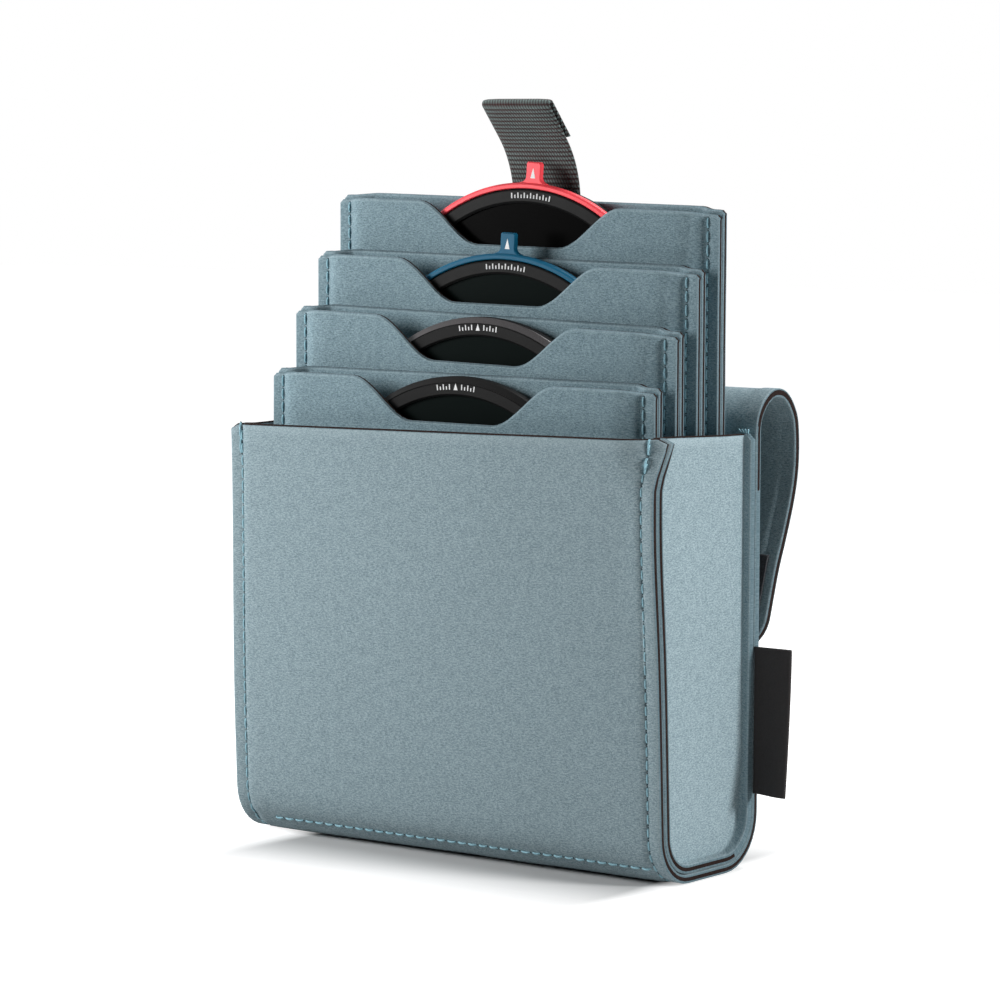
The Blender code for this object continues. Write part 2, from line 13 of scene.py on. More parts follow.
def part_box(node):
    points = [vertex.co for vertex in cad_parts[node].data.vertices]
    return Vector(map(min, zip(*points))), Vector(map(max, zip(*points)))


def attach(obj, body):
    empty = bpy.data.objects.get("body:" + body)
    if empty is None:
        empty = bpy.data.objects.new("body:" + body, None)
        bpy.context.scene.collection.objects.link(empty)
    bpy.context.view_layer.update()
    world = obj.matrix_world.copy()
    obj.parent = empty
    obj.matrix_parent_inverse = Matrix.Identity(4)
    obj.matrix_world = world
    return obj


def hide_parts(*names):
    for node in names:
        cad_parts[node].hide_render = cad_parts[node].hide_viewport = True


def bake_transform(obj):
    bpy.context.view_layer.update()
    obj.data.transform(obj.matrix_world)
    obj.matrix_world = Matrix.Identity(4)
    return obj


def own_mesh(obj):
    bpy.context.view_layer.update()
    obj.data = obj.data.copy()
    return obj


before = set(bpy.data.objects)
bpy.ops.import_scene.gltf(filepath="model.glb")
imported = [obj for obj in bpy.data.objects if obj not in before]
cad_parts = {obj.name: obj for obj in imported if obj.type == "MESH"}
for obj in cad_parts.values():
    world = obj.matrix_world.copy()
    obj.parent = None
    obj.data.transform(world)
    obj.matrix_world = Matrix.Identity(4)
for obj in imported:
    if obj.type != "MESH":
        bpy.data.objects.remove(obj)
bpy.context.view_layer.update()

# Laminate and the pouch, as the frame's source has them
GAP = 0.0003
LAMINATE = 0.0020
SLEEVE_SKIN = 0.0016
HALF_WIDTH = 0.0625
BACK_FACE = 0.020
FRONT_LEAN = 0.0045
RIM = 0.102
FRONT_CORNER_RADIUS = 0.012
REAR_CORNER_RADIUS = 0.013
FLAP_ROOT = 0.105
FLAP_RUNS = (0.0042, 0.0048, 0.0042, 0.0042, 0.0050, 0.0170)
BEND_TURN = math.radians(31.25)
LEG_TURN = math.radians(10)
FLAP_CORNER_RADIUS = 0.009
WALL_MIDDLE = 0.0583
WALL_BEND = 0.0016
SEAM_INSET = 0.0035
RIM_TILT = 0.0010
CORNER_CURL = 0.0056
BASE_SPREAD = 0.0018
SEAM_BOW = 0.0012
CORNER_DROP = 0.0011
LEG_BOW = 0.0020
ARCH_RISE = 0.0010
WALL_FOLD = 0.0010
BULGE = 0.0002

# Sleeves and filters
SLEEVES = (1, 2, 3, 4)
SLEEVE_HALF_WIDTH = 0.0565
SLEEVE_HEIGHT = 0.096
SLEEVE_SEAM = 0.0035
SLEEVE_STITCH = 0.0031
SIDE_SWELL_RUN = 0.0045
FOOT_SEAM = 0.0020
FOOT_SWELL_RUN = 0.0040
SWELL = 0.00225
NOTCH_DEPTH = 0.0100
NOTCH_FLOOR = 0.012
NOTCH_TOP = 0.030
SLEEVE_SLOPE = {1: 0.0002, 2: 0.0014, 3: 0.0010, 4: 0.0011}
FILTER_REST = 0.0075
FILTER_SETTLED = {1: 0.0005, 2: 0.0005, 3: -0.0023, 4: 0.0008}
FILTER_HALF = 0.00225
BASE_RADIUS = 0.044
LEVER_RADIUS = 0.046
CARRIER_WIDTH = 0.0032
COLOUR_DEPTH = 0.0020
LEVER_TURNS = {3: math.radians(2.2), 4: math.radians(3.6)}

# The floor's white glow is left off over this box, as (axis, middle, half, weight), and comes back a little
# beyond it: there the grey floor shows the case's real shadow in a pool of painted shade
SHADOW_AND_PAINTED_SHADE_BOX = ((0, 0.005, 0.050, 5.0), (1, 0.0, BACK_FACE, 1.0))
SHADE_REACH = 0.025
ROOM_LIGHT = 0.03

# Cloth and stitches
KNIT_SLANT = math.radians(-7)
RIB = 0.0012
YARN_STEP = 0.0008
STITCH_PITCH = 0.0031
STITCH_LENGTH = 0.0024
THREAD_RADIUS = 0.00025
THREAD_LIFT = 0.00006
THREAD_SUNK = -0.00012
TUBE_SIDES = 6
HOLE_SIDES = 7
HOLE_RADIUS = 0.00030


SLEEVE_LOW = {number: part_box(f"sleeve_back_{number}")[0] for number in SLEEVES}
SLEEVE_Y = {number: low.y - GAP / 2 for number, low in SLEEVE_LOW.items()}
SLEEVE_FOOT = {number: low.z for number, low in SLEEVE_LOW.items()}


def filter_centre(number):
    radius = BASE_RADIUS if number < 3 else LEVER_RADIUS
    seat = FILTER_REST + FILTER_SETTLED[number]
    return Vector((0, SLEEVE_Y[number], SLEEVE_FOOT[number] + seat + radius))


def smooth(value):
    share = min(max(value, 0), 1)
    return share * share * (3 - 2 * share)


def mirrored(distances):
    """Distances from the middle, on both sides of it, in order."""
    return [-d for d in sorted(distances, reverse=True)] + sorted(d for d in distances if d)


def ripple(point, scale, amount, seed=0.0):
    """A soft unevenness, from minus to plus this amount."""
    return noise.noise(Vector(point) / scale + Vector((seed, seed, seed))) * amount


# Nodes of the materials


def node(tree, kind, inputs=None, **settings):
    """Adds a node; an input is a value or a socket to link from, by name or number."""
    made = tree.nodes.new(kind)
    for key, value in settings.items():
        setattr(made, key, value)
    for key, value in (inputs or {}).items():
        socket = made.inputs[key]
        if isinstance(value, bpy.types.NodeSocket):
            tree.links.new(value, socket)
        else:
            socket.default_value = value
    return made


def maths(tree, operation, first, second=0.0, third=None):
    inputs = {0: first, 1: second}
    if third is not None:
        inputs[2] = third
    return node(tree, "ShaderNodeMath", inputs, operation=operation).outputs[0]


def clamped(tree, value):
    return node(tree, "ShaderNodeClamp", {0: value}).outputs[0]


def blend_colours(tree, share, first, second):
    """Two colours, each a socket or three numbers, mixed by share."""
    ends = [(*end, 1.0) if isinstance(end, tuple) else end for end in (first, second)]
    return node(tree, "ShaderNodeMix", {0: share, 6: ends[0], 7: ends[1]}, data_type="RGBA").outputs[2]


def grain(tree, place, scale, detail=2.0, stretch=(1, 1, 1), roughness=0.5, turn=0.0):
    turned_place = {"Vector": place, "Scale": stretch, "Rotation": (0, 0, turn)}
    moved = node(tree, "ShaderNodeMapping", turned_place).outputs[0]
    inputs = {"Vector": moved, "Scale": scale, "Detail": detail, "Roughness": roughness}
    return node(tree, "ShaderNodeTexNoise", inputs, noise_dimensions="3D").outputs[0]


def new_group(name, sizes, results):
    """A node group that takes a place and these sizes and puts out these values, and its two end nodes."""
    tree = bpy.data.node_groups.new(name, "ShaderNodeTree")
    tree.interface.new_socket("Place", in_out="INPUT", socket_type="NodeSocketVector")
    for label, value in sizes.items():
        tree.interface.new_socket(label, in_out="INPUT", socket_type="NodeSocketFloat").default_value = value
    for label in results:
        tree.interface.new_socket(label, in_out="OUTPUT", socket_type="NodeSocketFloat")
    return tree, tree.nodes.new("NodeGroupInput"), tree.nodes.new("NodeGroupOutput")


def put_out(tree, out, **values):
    for label, value in values.items():
        tree.links.new(value, out.inputs[label])


def knit_group():
    """Brushed loop knit: short loops in slanting rows, with fuzz. Place is in metres along the cloth."""
    tree, given, out = new_group("brushed_loop_knit", {}, ("Shade", "Height", "Fuzz"))
    place = given.outputs["Place"]
    loops = grain(tree, place, 1.0, 2.0, (1300, 3000, 1500), 0.6, KNIT_SLANT)
    fuzz = grain(tree, place, 3400, 2.0, roughness=0.7)
    mottle = grain(tree, place, 420, 3.0)
    shade = maths(tree, "MULTIPLY_ADD", maths(tree, "SUBTRACT", loops, 0.5), 2.4, 0.5)
    shade = maths(tree, "MULTIPLY_ADD", fuzz, 2.2, maths(tree, "SUBTRACT", shade, 1.1))
    shade = maths(tree, "MULTIPLY_ADD", mottle, 0.6, maths(tree, "SUBTRACT", shade, 0.3))
    height = maths(tree, "MULTIPLY_ADD", fuzz, 0.6, loops)
    put_out(tree, out, Shade=clamped(tree, shade), Height=height, Fuzz=fuzz)
    return tree


def speckle_group():
    """Fine speckle with a slow change over it."""
    tree, given, out = new_group("fine_speckle", {"Size": 0.0004}, ("Shade", "Height"))
    per_metre = maths(tree, "DIVIDE", 1.0, given.outputs["Size"])
    fine = grain(tree, given.outputs["Place"], per_metre, 3.0, roughness=0.65)
    slow = grain(tree, given.outputs["Place"], 160, 2.0)
    shade = maths(tree, "MULTIPLY_ADD", fine, 1.6, -0.45)
    shade = maths(tree, "MULTIPLY_ADD", slow, 0.4, maths(tree, "SUBTRACT", shade, 0.1))
    put_out(tree, out, Shade=clamped(tree, shade), Height=fine)
    return tree


KNIT_GROUP = knit_group()
SPECKLE_GROUP = speckle_group()


def new_material(name, roughness, metallic=0.0, sheen=0.0, specular=0.5):
    made = bpy.data.materials.new(name)
    made.use_nodes = True
    shader = made.node_tree.nodes["Principled BSDF"]
    shader.inputs["Roughness"].default_value = roughness
    shader.inputs["Metallic"].default_value = metallic
    shader.inputs["Specular IOR Level"].default_value = specular
    if sheen:
        shader.inputs["Sheen Weight"].default_value = sheen
        shader.inputs["Sheen Roughness"].default_value = 0.45
    return made, made.node_tree, shader


def place_of(tree, kind="UV"):
    """The place along the cloth in metres, from its UV map, or the place in the object."""
    if kind == "UV":
        return node(tree, "ShaderNodeUVMap", uv_map="cloth").outputs[0]
    return node(tree, "ShaderNodeTexCoord").outputs["Object"]


def placed_group(tree, group, place, **sizes):
    return node(tree, "ShaderNodeGroup", {"Place": place, **sizes}, node_tree=group)


def bump_to(tree, shader, height, strength, distance):
    made = node(tree, "ShaderNodeBump", {"Strength": strength, "Distance": distance, "Height": height})
    tree.links.new(made.outputs[0], shader.inputs["Normal"])


def knit_material(name, low, high, edge, cut):
    """The laminate's face cloth: two shades of blue grey, lighter along an edge, partly for fuzz and partly
    as a painted highlight, and dark on the cut itself as painted shade deep among the cut fibres.
    """
    made, tree, shader = new_material(name, 0.95, sheen=0.12, specular=0.15)
    shader.inputs["Sheen Tint"].default_value = (0.85, 0.94, 1.0, 1.0)
    knit = placed_group(tree, KNIT_GROUP, place_of(tree))
    colour = blend_colours(tree, knit.outputs["Shade"], low, high)
    # Painted highlight: the cloth is made lighter near an open edge, partly for its fuzz and partly for the
    # light its fibres catch.
    near = node(tree, "ShaderNodeAttribute", attribute_name="edge_nearness").outputs["Fac"]
    fray_and_painted_highlight = maths(tree, "MULTIPLY", near, maths(tree, "MULTIPLY_ADD", knit.outputs["Fuzz"], 0.8, -0.05))
    colour = blend_colours(tree, fray_and_painted_highlight, colour, edge)
    # Painted shade: the cloth's cut faces are made darker, for the shade deep among the cut fibres.
    side = node(tree, "ShaderNodeAttribute", attribute_name="cut_side").outputs["Fac"]
    painted_cut_shade = maths(tree, "MULTIPLY", side, maths(tree, "MULTIPLY_ADD", knit.outputs["Fuzz"], -0.8, 1.25))
    colour = blend_colours(tree, clamped(tree, painted_cut_shade), colour, cut)
    tree.links.new(colour, shader.inputs["Base Color"])
    bump_to(tree, shader, knit.outputs["Height"], 0.30, 0.0002)
    return made


def speckled_material(name, low, high, size, roughness, bump=0.4, depth=0.0002, **shine):
    made, tree, shader = new_material(name, roughness, **shine)
    speckle = placed_group(tree, SPECKLE_GROUP, place_of(tree, "Object"), Size=size)
    colour = blend_colours(tree, speckle.outputs["Shade"], low, high)
    tree.links.new(colour, shader.inputs["Base Color"])
    bump_to(tree, shader, speckle.outputs["Height"], bump, depth)
    return made


def webbing_material():
    """Ribbed webbing: grey-green yarn in short steps along each rib, lightest on the rib's crest as a painted
    highlight; dark brown yarn between the ribs, partly painted shade, with red patches that are a painted
    reflection of the red ring.
    """
    made, tree, shader = new_material("ribbed_webbing_with_painted_light", 0.8, sheen=0.1, specular=0.2)
    place = place_of(tree)
    parts = node(tree, "ShaderNodeSeparateXYZ", {0: place})
    speckle = placed_group(tree, SPECKLE_GROUP, place, Size=0.00030)
    along = maths(tree, "MULTIPLY", parts.outputs[1], math.pi / RIB)
    across = maths(tree, "MULTIPLY", parts.outputs[0], 2 * math.pi / YARN_STEP)
    # Painted highlight and shade: the colour is lightest on each rib's crest and darkest between the ribs.
    rib = maths(tree, "POWER", maths(tree, "ABSOLUTE", maths(tree, "COSINE", along)), 1.5)
    step = maths(tree, "SINE", maths(tree, "ADD", across, along))
    yarn = maths(tree, "MULTIPLY_ADD", step, 0.36, 0.62)
    share = maths(tree, "MULTIPLY", rib, yarn)
    share = maths(tree, "MULTIPLY_ADD", speckle.outputs["Shade"], 0.35, maths(tree, "SUBTRACT", share, 0.15))
    # The dark ground is tinted red in patches, a painted reflection of filter 4's red ring.
    ground = blend_colours(tree, grain(tree, place, 130, 2.0), (0.012, 0.010, 0.010), (0.055, 0.016, 0.016))
    colour = blend_colours(tree, clamped(tree, share), ground, (0.190, 0.256, 0.249))
    tree.links.new(colour, shader.inputs["Base Color"])
    bump_to(tree, shader, maths(tree, "MULTIPLY_ADD", step, 0.6, speckle.outputs["Height"]), 0.5, 0.00015)
    return made


def anodised_material(name, low, high, metallic, roughness, specular):
    """Anodised aluminium: a fine blasted grain, and roughness that changes a little."""
    made, tree, shader = new_material(name, roughness, metallic, specular=specular)
    place = place_of(tree, "Object")
    speckle = placed_group(tree, SPECKLE_GROUP, place, Size=0.00025)
    colour = blend_colours(tree, speckle.outputs["Shade"], low, high)
    tree.links.new(colour, shader.inputs["Base Color"])
    slow = grain(tree, place, 220, 3.0)
    change = 0.15
    varied = maths(tree, "MULTIPLY_ADD", slow, change, roughness - change / 2)
    tree.links.new(varied, shader.inputs["Roughness"])
    bump_to(tree, shader, speckle.outputs["Height"], 0.15, 0.00003)
    return made


def glass_material(name, low, high):
    """Near-black coated filter glass, with a faint cast that changes over the pane."""
    made, tree, shader = new_material(name, 0.25, specular=0.01)
    slow = grain(tree, place_of(tree, "Object"), 40, 1.0)
    colour = blend_colours(tree, slow, low, high)
    tree.links.new(colour, shader.inputs["Base Color"])
    return made


def seen_by_camera(tree):
    """1 for what the camera sees, also in a reflection or through glass, and 0 for the light on the case."""
    path = node(tree, "ShaderNodeLightPath")
    seen = maths(tree, "MAXIMUM", path.outputs["Is Camera Ray"], path.outputs["Is Glossy Ray"])
    return maths(tree, "MAXIMUM", seen, path.outputs["Is Transmission Ray"])


def floor_material():
    """A white floor: plain to the lamps, and white to the camera except where the case stands on it; there
    the grey floor shows the case's real shadow in a pool of painted shade.
    """
    made = bpy.data.materials.new("white_floor")
    made.use_nodes = True
    tree = made.node_tree
    tree.nodes.remove(tree.nodes["Principled BSDF"])
    matt = node(tree, "ShaderNodeBsdfDiffuse", {"Color": (0.60, 0.60, 0.60, 1.0)})
    place = node(tree, "ShaderNodeSeparateXYZ", {0: node(tree, "ShaderNodeNewGeometry").outputs["Position"]})
    beyond = []
    for axis, middle, half, weight in SHADOW_AND_PAINTED_SHADE_BOX:
        off = maths(tree, "ABSOLUTE", maths(tree, "SUBTRACT", place.outputs[axis], middle))
        distance = maths(tree, "MAXIMUM", maths(tree, "SUBTRACT", off, half), 0.0)
        beyond.append(maths(tree, "POWER", maths(tree, "MULTIPLY", distance, weight), 2.0))
    away = maths(tree, "SQRT", maths(tree, "ADD", *beyond))
    fading = maths(tree, "EXPONENT", maths(tree, "DIVIDE", away, -SHADE_REACH))
    clear = maths(tree, "POWER", maths(tree, "SUBTRACT", 1.0, fading), 1.5)
    strength = maths(tree, "MULTIPLY", seen_by_camera(tree), clear)
    glow = node(tree, "ShaderNodeEmission", {"Color": (1, 1, 1, 1), "Strength": strength})
    both = node(tree, "ShaderNodeAddShader", {0: matt.outputs[0], 1: glow.outputs[0]})
    tree.links.new(both.outputs[0], tree.nodes["Material Output"].inputs["Surface"])
    return made


# In both knits the edge colour is partly a painted highlight, and the cut colour is painted shade.
KNIT = knit_material(
    "blue_grey_knit", (0.163, 0.235, 0.263), (0.362, 0.46, 0.50), (0.392, 0.49, 0.53), (0.080, 0.135, 0.160)
)
# The sleeves' knit is the pouch's knit made darker and bluer, partly painted shade: the shade the sleeves
# cast on one another.
SLEEVE_KNIT_WITH_PAINTED_SHADE = knit_material(
    "sleeve_knit_with_painted_shade", (0.119, 0.188, 0.218), (0.298, 0.408, 0.456), (0.40, 0.51, 0.56), (0.130, 0.195, 0.225)
)
CORE = speckled_material(
    "dark_foam_core", (0.006, 0.004, 0.004), (0.036, 0.021, 0.018), 0.0004, 0.95, specular=0.1
)
THREAD = speckled_material("cyan_thread", (0.19, 0.40, 0.48), (0.42, 0.68, 0.77), 0.0003, 0.8, sheen=0.1)
HOLE = speckled_material(
    "needle_hole_shadow", (0.030, 0.052, 0.062), (0.080, 0.125, 0.145), 0.0003, 1.0, specular=0.0
)
LINING = speckled_material("lining_cloth", (0.09, 0.14, 0.16), (0.18, 0.26, 0.29), 0.0005, 0.9, sheen=0.1)
WEBBING = webbing_material()
HOOK = speckled_material(
    "dark_hook_tape", (0.006, 0.006, 0.008), (0.045, 0.048, 0.054), 0.0004, 0.6, specular=0.3
)
LABEL = speckled_material(
    "black_woven_label", (0.003, 0.002, 0.002), (0.012, 0.008, 0.008), 0.0004, 0.8, 0.6, 0.0001
)
MARK = speckled_material("white_index_print", (0.80, 0.81, 0.81), (0.90, 0.905, 0.905), 0.0003, 0.6)
BLACK = anodised_material("black_anodised_finish", (0.004, 0.004, 0.004), (0.01, 0.01, 0.01), 0.0, 0.5, 0.08)
BEVEL = anodised_material("dull_bevel_finish", (0.040, 0.037, 0.038), (0.085, 0.080, 0.083), 0.3, 0.34, 0.3)
RED = anodised_material("red_anodised_finish", (0.760, 0.043, 0.062), (0.870, 0.075, 0.092), 0.1, 0.4, 0.28)
BLUE = anodised_material("blue_anodised_finish", (0.003, 0.088, 0.165), (0.006, 0.12, 0.22), 0.0, 0.4, 0.14)
GREEN_GLASS = glass_material("dark_green_glass", (0.0035, 0.0055, 0.0052), (0.0085, 0.0125, 0.0118))
BLACK_GLASS = glass_material("black_coated_glass", (0.0010, 0.0010, 0.0010), (0.0026, 0.0026, 0.0026))


# Meshes


def finished(name, shape, materials, body=None, replaces=(), sharp=None):
    """The object of a bmesh, smooth-shaded, riding on its body and standing for its nodes."""
    mesh = bpy.data.meshes.new(name)
    shape.to_mesh(mesh)
    shape.free()
    for item in materials:
        mesh.materials.append(item)
    mesh.polygons.foreach_set("use_smooth", [True] * len(mesh.polygons))
    if sharp:
        mesh.set_sharp_from_angle(angle=sharp)
    made = bpy.data.objects.new(name, mesh)
    bpy.context.scene.collection.objects.link(made)
    if body:
        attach(made, body)
    if replaces:
        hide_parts(*replaces)
    return made


# How the laminate's cut edge looks from one face to the other: how far in from the edge, and how high
EDGE_PROFILE = (
    (0.34, 1.00), (0.12, 0.94), (0.04, 0.82), (0.03, 0.70), (0.04, 0.60), (-0.01, 0.44),
    (-0.01, -0.44), (0.04, -0.60), (0.03, -0.70), (0.04, -0.82), (0.12, -0.94), (0.34, -1.00),
)
CLOTH_SIDE, CORE_SIDE = 0, 1


def grid_surface(columns, rows, place):
    """An open sheet: place(i, j) gives the point and its place along the cloth; each vertex keeps its row."""
    shape = bmesh.new()
    cut = shape.verts.layers.float_vector.new("cut_place")
    row = shape.verts.layers.int.new("row")
    table = []
    for j in range(rows):
        line = []
        for i in range(columns):
            point, along = place(i, j)
            vert = shape.verts.new(point)
            vert[cut] = Vector((along[0], along[1], 0))
            vert[row] = j
            line.append(vert)
        table.append(line)
    for lower, upper in zip(table, table[1:]):
        for i in range(columns - 1):
            shape.faces.new((lower[i], lower[i + 1], upper[i + 1], upper[i]))
    return shape, table


def area_of(shape):
    return sum(face.calc_area() for face in shape.faces)


def outward_of(shape, normals):
    """For each vertex of the open edge, the direction out of the sheet, long enough to keep a mitre."""
    sums = {}
    for edge in shape.edges:
        if len(edge.link_faces) != 1:
            continue
        face = edge.link_faces[0]
        middle = (edge.verts[0].co + edge.verts[1].co) / 2
        along = (edge.verts[1].co - edge.verts[0].co).normalized()
        out = along.cross(face.normal).normalized()
        if out.dot(middle - face.calc_center_median()) < 0:
            out = -out
        for vert in edge.verts:
            sums.setdefault(vert.index, []).append(out)
    result = {}
    for index, parts in sums.items():
        total = sum(parts, Vector())
        total -= normals[index] * total.dot(normals[index])
        total.normalize()
        stretch = 1 / max(total.dot(parts[0]), 0.6)
        result[index] = total * stretch
    return result


CORE_PROUD = 0.00026


def thin_core(strip, point):
    return strip == 5


def no_core(strip, point):
    return False


def wrap_core(strip, point):
    """The flap's cut edge and the front's rim show more core than the seams; fuzz hides it at the rear."""
    if point.z > 0.104 or point.y > 0.0212 or (point.z > 0.1005 and point.y < 0):
        return strip in (4, 5, 6)
    return strip == 5 and not (point.x > 0 and point.y > 0.012 and 0.030 < point.z < 0.090)


def side_core(strip, point):
    """Fuzz hides the side panel's core along the rear seam."""
    rim = point.z > 0.100 and abs(point.x) < 0.0600
    return strip in (4, 5, 6) if rim else strip == 5 and (point.x < 0 or point.y < 0.011)


def laminate(shape, half, core=thin_core):
    """Turns an open sheet into cloth, core and cloth: a closed slab whose cut edge shows the core."""
    shape.normal_update()
    shape.verts.index_update()
    cut = shape.verts.layers.float_vector["cut_place"]
    row = shape.verts.layers.int["row"]
    verts = list(shape.verts)
    normals = {v.index: v.normal.copy() for v in verts}
    outward = outward_of(shape, normals)
    solid = bmesh.new()
    uv = solid.loops.layers.uv.new("cloth")
    near = solid.verts.layers.float.new("edge_nearness")
    cut_side = solid.verts.layers.float.new("cut_side")
    row_of = solid.verts.layers.int.new("row")
    place = {}

    def level(inset, height):
        made = []
        for v in verts:
            out = outward.get(v.index)
            if out is None and abs(height) < 1:
                made.append(None)
                continue
            point = v.co + normals[v.index] * height * half
            spread = 0.0
            if out is not None:
                proud = CORE_PROUD * max(out.z, 0.0) if abs(height) < 0.6 else 0.0
                point -= out * (inset * half - proud)
                spread = (out * (inset + 1 - abs(height)) * half).length
            vert = solid.verts.new(point)
            # edge_nearness marks the open edge, where the knit paints lighter fuzz and a highlight; cut_side
            # marks the cut faces, where it paints shade.
            vert[near] = float(out is not None)
            vert[cut_side] = min((1 - abs(height)) / 0.18, 1.0)
            vert[row_of] = v[row]
            place[vert] = Vector((v[cut].x + spread, v[cut].y))
            made.append(vert)
        return made

    levels = [level(inset, height) for inset, height in EDGE_PROFILE]

    def put(corners, material):
        face = solid.faces.new(corners)
        face.material_index = material
        for loop in face.loops:
            loop[uv].uv = place[loop.vert]

    for face in shape.faces:
        corners = [v.index for v in face.verts]
        put([levels[0][i] for i in corners], CLOTH_SIDE)
        put([levels[-1][i] for i in reversed(corners)], CLOTH_SIDE)
    for edge in shape.edges:
        if len(edge.link_faces) != 1:
            continue
        loop = edge.link_loops[0]
        first, second = loop.vert.index, loop.link_loop_next.vert.index
        middle = (loop.vert.co + loop.link_loop_next.vert.co) / 2
        for k, (upper, lower) in enumerate(zip(levels, levels[1:])):
            side = CORE_SIDE if core(k, middle) else CLOTH_SIDE
            put((upper[second], upper[first], lower[first], lower[second]), side)
    shape.free()
    return solid


def join_rings(shape, first, second):
    for s in range(len(first)):
        t = (s + 1) % len(first)
        shape.faces.new((first[s], first[t], second[t], second[s]))


def tube_chain(shape, points, normals, radius):
    """Adds a small closed tube along these points."""
    rings = []
    for k, (point, normal) in enumerate(zip(points, normals)):
        along = (points[min(k + 1, len(points) - 1)] - points[max(k - 1, 0)]).normalized()
        side = along.cross(normal).normalized()
        up = side.cross(along)
        angles = [2 * math.pi * s / TUBE_SIDES for s in range(TUBE_SIDES)]
        around = [(side * math.cos(a) + up * math.sin(a)) * radius for a in angles]
        rings.append([shape.verts.new(point + step) for step in around])
    for first, second in zip(rings, rings[1:]):
        join_rings(shape, first, second)
    shape.faces.new(rings[0][::-1])
    shape.faces.new(rings[-1])


def along_path(points, distance):
    """The point, direction and segment at this distance along a list of points."""
    for k, (first, second) in enumerate(zip(points, points[1:])):
        step = (second - first).length
        if distance <= step or k == len(points) - 2:
            share = distance / step if step else 0
            return first.lerp(second, share), (second - first).normalized(), k, share
        distance -= step
    return points[-1], (points[-1] - points[-2]).normalized(), len(points) - 2, 1.0


def path_length(points):
    return sum((second - first).length for first, second in zip(points, points[1:]))


def stitch_row(threads, holes, points, normals, start, seed, lift=THREAD_LIFT):
    """One row of lock stitches on a path over the cloth, each dipping into its needle holes."""
    total = path_length(points)
    count = max(int((total - 2 * start) / STITCH_PITCH), 1)
    pitch = (total - 2 * start) / count
    for k in range(count):
        middle = start + (k + 0.5) * pitch
        length = STITCH_LENGTH * (1 + ripple((k * 0.7, seed, 0), 1.0, 0.12))
        line, ups = [], []
        for share, height in ((-0.5, -0.9), (-0.42, 0.1), (-0.2, 0.9), (0.2, 0.9), (0.42, 0.1), (0.5, -0.9)):
            at, _, seg, part = along_path(points, middle + share * length)
            up = normals[seg].lerp(normals[seg + 1], part).normalized()
            line.append(at + up * (lift + height * THREAD_RADIUS))
            ups.append(up)
        tube_chain(threads, line, ups, THREAD_RADIUS)
        for end in (0, -1):
            hole_at(holes, line[end] - ups[end] * (lift - 0.9 * THREAD_RADIUS), ups[end])


def hole_at(shape, point, up):
    """A small dimple where the needle went in, its shadow painted: a shallow dark disc that stands hardly
    proud of the cloth.
    """
    side = up.orthogonal().normalized()
    other = up.cross(side)
    centre = shape.verts.new(point + up * 0.00016)
    ring = []
    for s in range(HOLE_SIDES):
        angle = 2 * math.pi * s / HOLE_SIDES
        around = (side * math.cos(angle) + other * math.sin(angle)) * HOLE_RADIUS
        ring.append(shape.verts.new(point + around + up * 0.00002))
    under = shape.verts.new(point - up * 0.0002)
    for s in range(HOLE_SIDES):
        t = (s + 1) % HOLE_SIDES
        shape.faces.new((ring[s], ring[t], centre))
        shape.faces.new((ring[t], ring[s], under))


def finish_stitches(name, number, threads, holes, body):
    finished(f"{name}_stitches{number}", threads, [THREAD], body)
    finished(f"{name}_needle_holes{number}", holes, [HOLE], body)


# The pouch


LEAN = math.atan2(FRONT_LEAN, RIM)
FRONT_CENTRE = (-BACK_FACE + FRONT_CORNER_RADIUS * math.tan((math.pi / 2 - LEAN) / 2), FRONT_CORNER_RADIUS)
REAR_CENTRE = (BACK_FACE - REAR_CORNER_RADIUS, REAR_CORNER_RADIUS)
ARC_STEPS = 9
LINE_STEPS = 34
BASE_STEPS = 8


def arc(centre, radius, start, end, steps):
    angles = [start + (end - start) * k / steps for k in range(steps + 1)]
    return [(centre[0] + radius * math.cos(a), centre[1] + radius * math.sin(a)) for a in angles]


def line(first, second, steps):
    return [tuple(a + (b - a) * k / steps for a, b in zip(first, second)) for k in range(steps + 1)]


def pouch_section(inset, back_top=RIM):
    """The U in Y and Z this far inside the outer face: front side, corner, base, corner, back side."""
    front_top = (-BACK_FACE - FRONT_LEAN + inset / math.cos(LEAN), RIM)
    front_arc = arc(FRONT_CENTRE, FRONT_CORNER_RADIUS - inset, math.pi + LEAN, 3 * math.pi / 2, ARC_STEPS)
    rear_arc = arc(REAR_CENTRE, REAR_CORNER_RADIUS - inset, -math.pi / 2, 0, ARC_STEPS)
    front = line(front_top, front_arc[0], LINE_STEPS)
    base = line(front_arc[-1], rear_arc[0], BASE_STEPS)
    back = line(rear_arc[-1], (BACK_FACE - inset, back_top), LINE_STEPS)
    return front[:-1] + front_arc[:-1] + base[:-1] + rear_arc[:-1] + back


def flap_polygon():
    """The flap's middle line as straight runs, from the root to where the tip rests against the back."""
    y, z, heading = BACK_FACE - LAMINATE / 2, FLAP_ROOT, 0.0
    points = [(y, z)]
    for length in FLAP_RUNS:
        heading += BEND_TURN
        y += length * math.sin(heading)
        z += length * math.cos(heading)
        points.append((y, z))
    heading += LEG_TURN
    half = LAMINATE / 2
    tip = (y + half * math.cos(heading) - BACK_FACE - GAP) / -math.sin(heading)
    return [*points, (y + tip * math.sin(heading), z + tip * math.cos(heading))]


FLAP_POLYGON = flap_polygon()
# Where the strip is cut between the flap's bodies, as distances along it from the flap's root
FLAP_CUTS = (-0.0085, 0.0042, 0.0152, 0.0262, 0.0488)


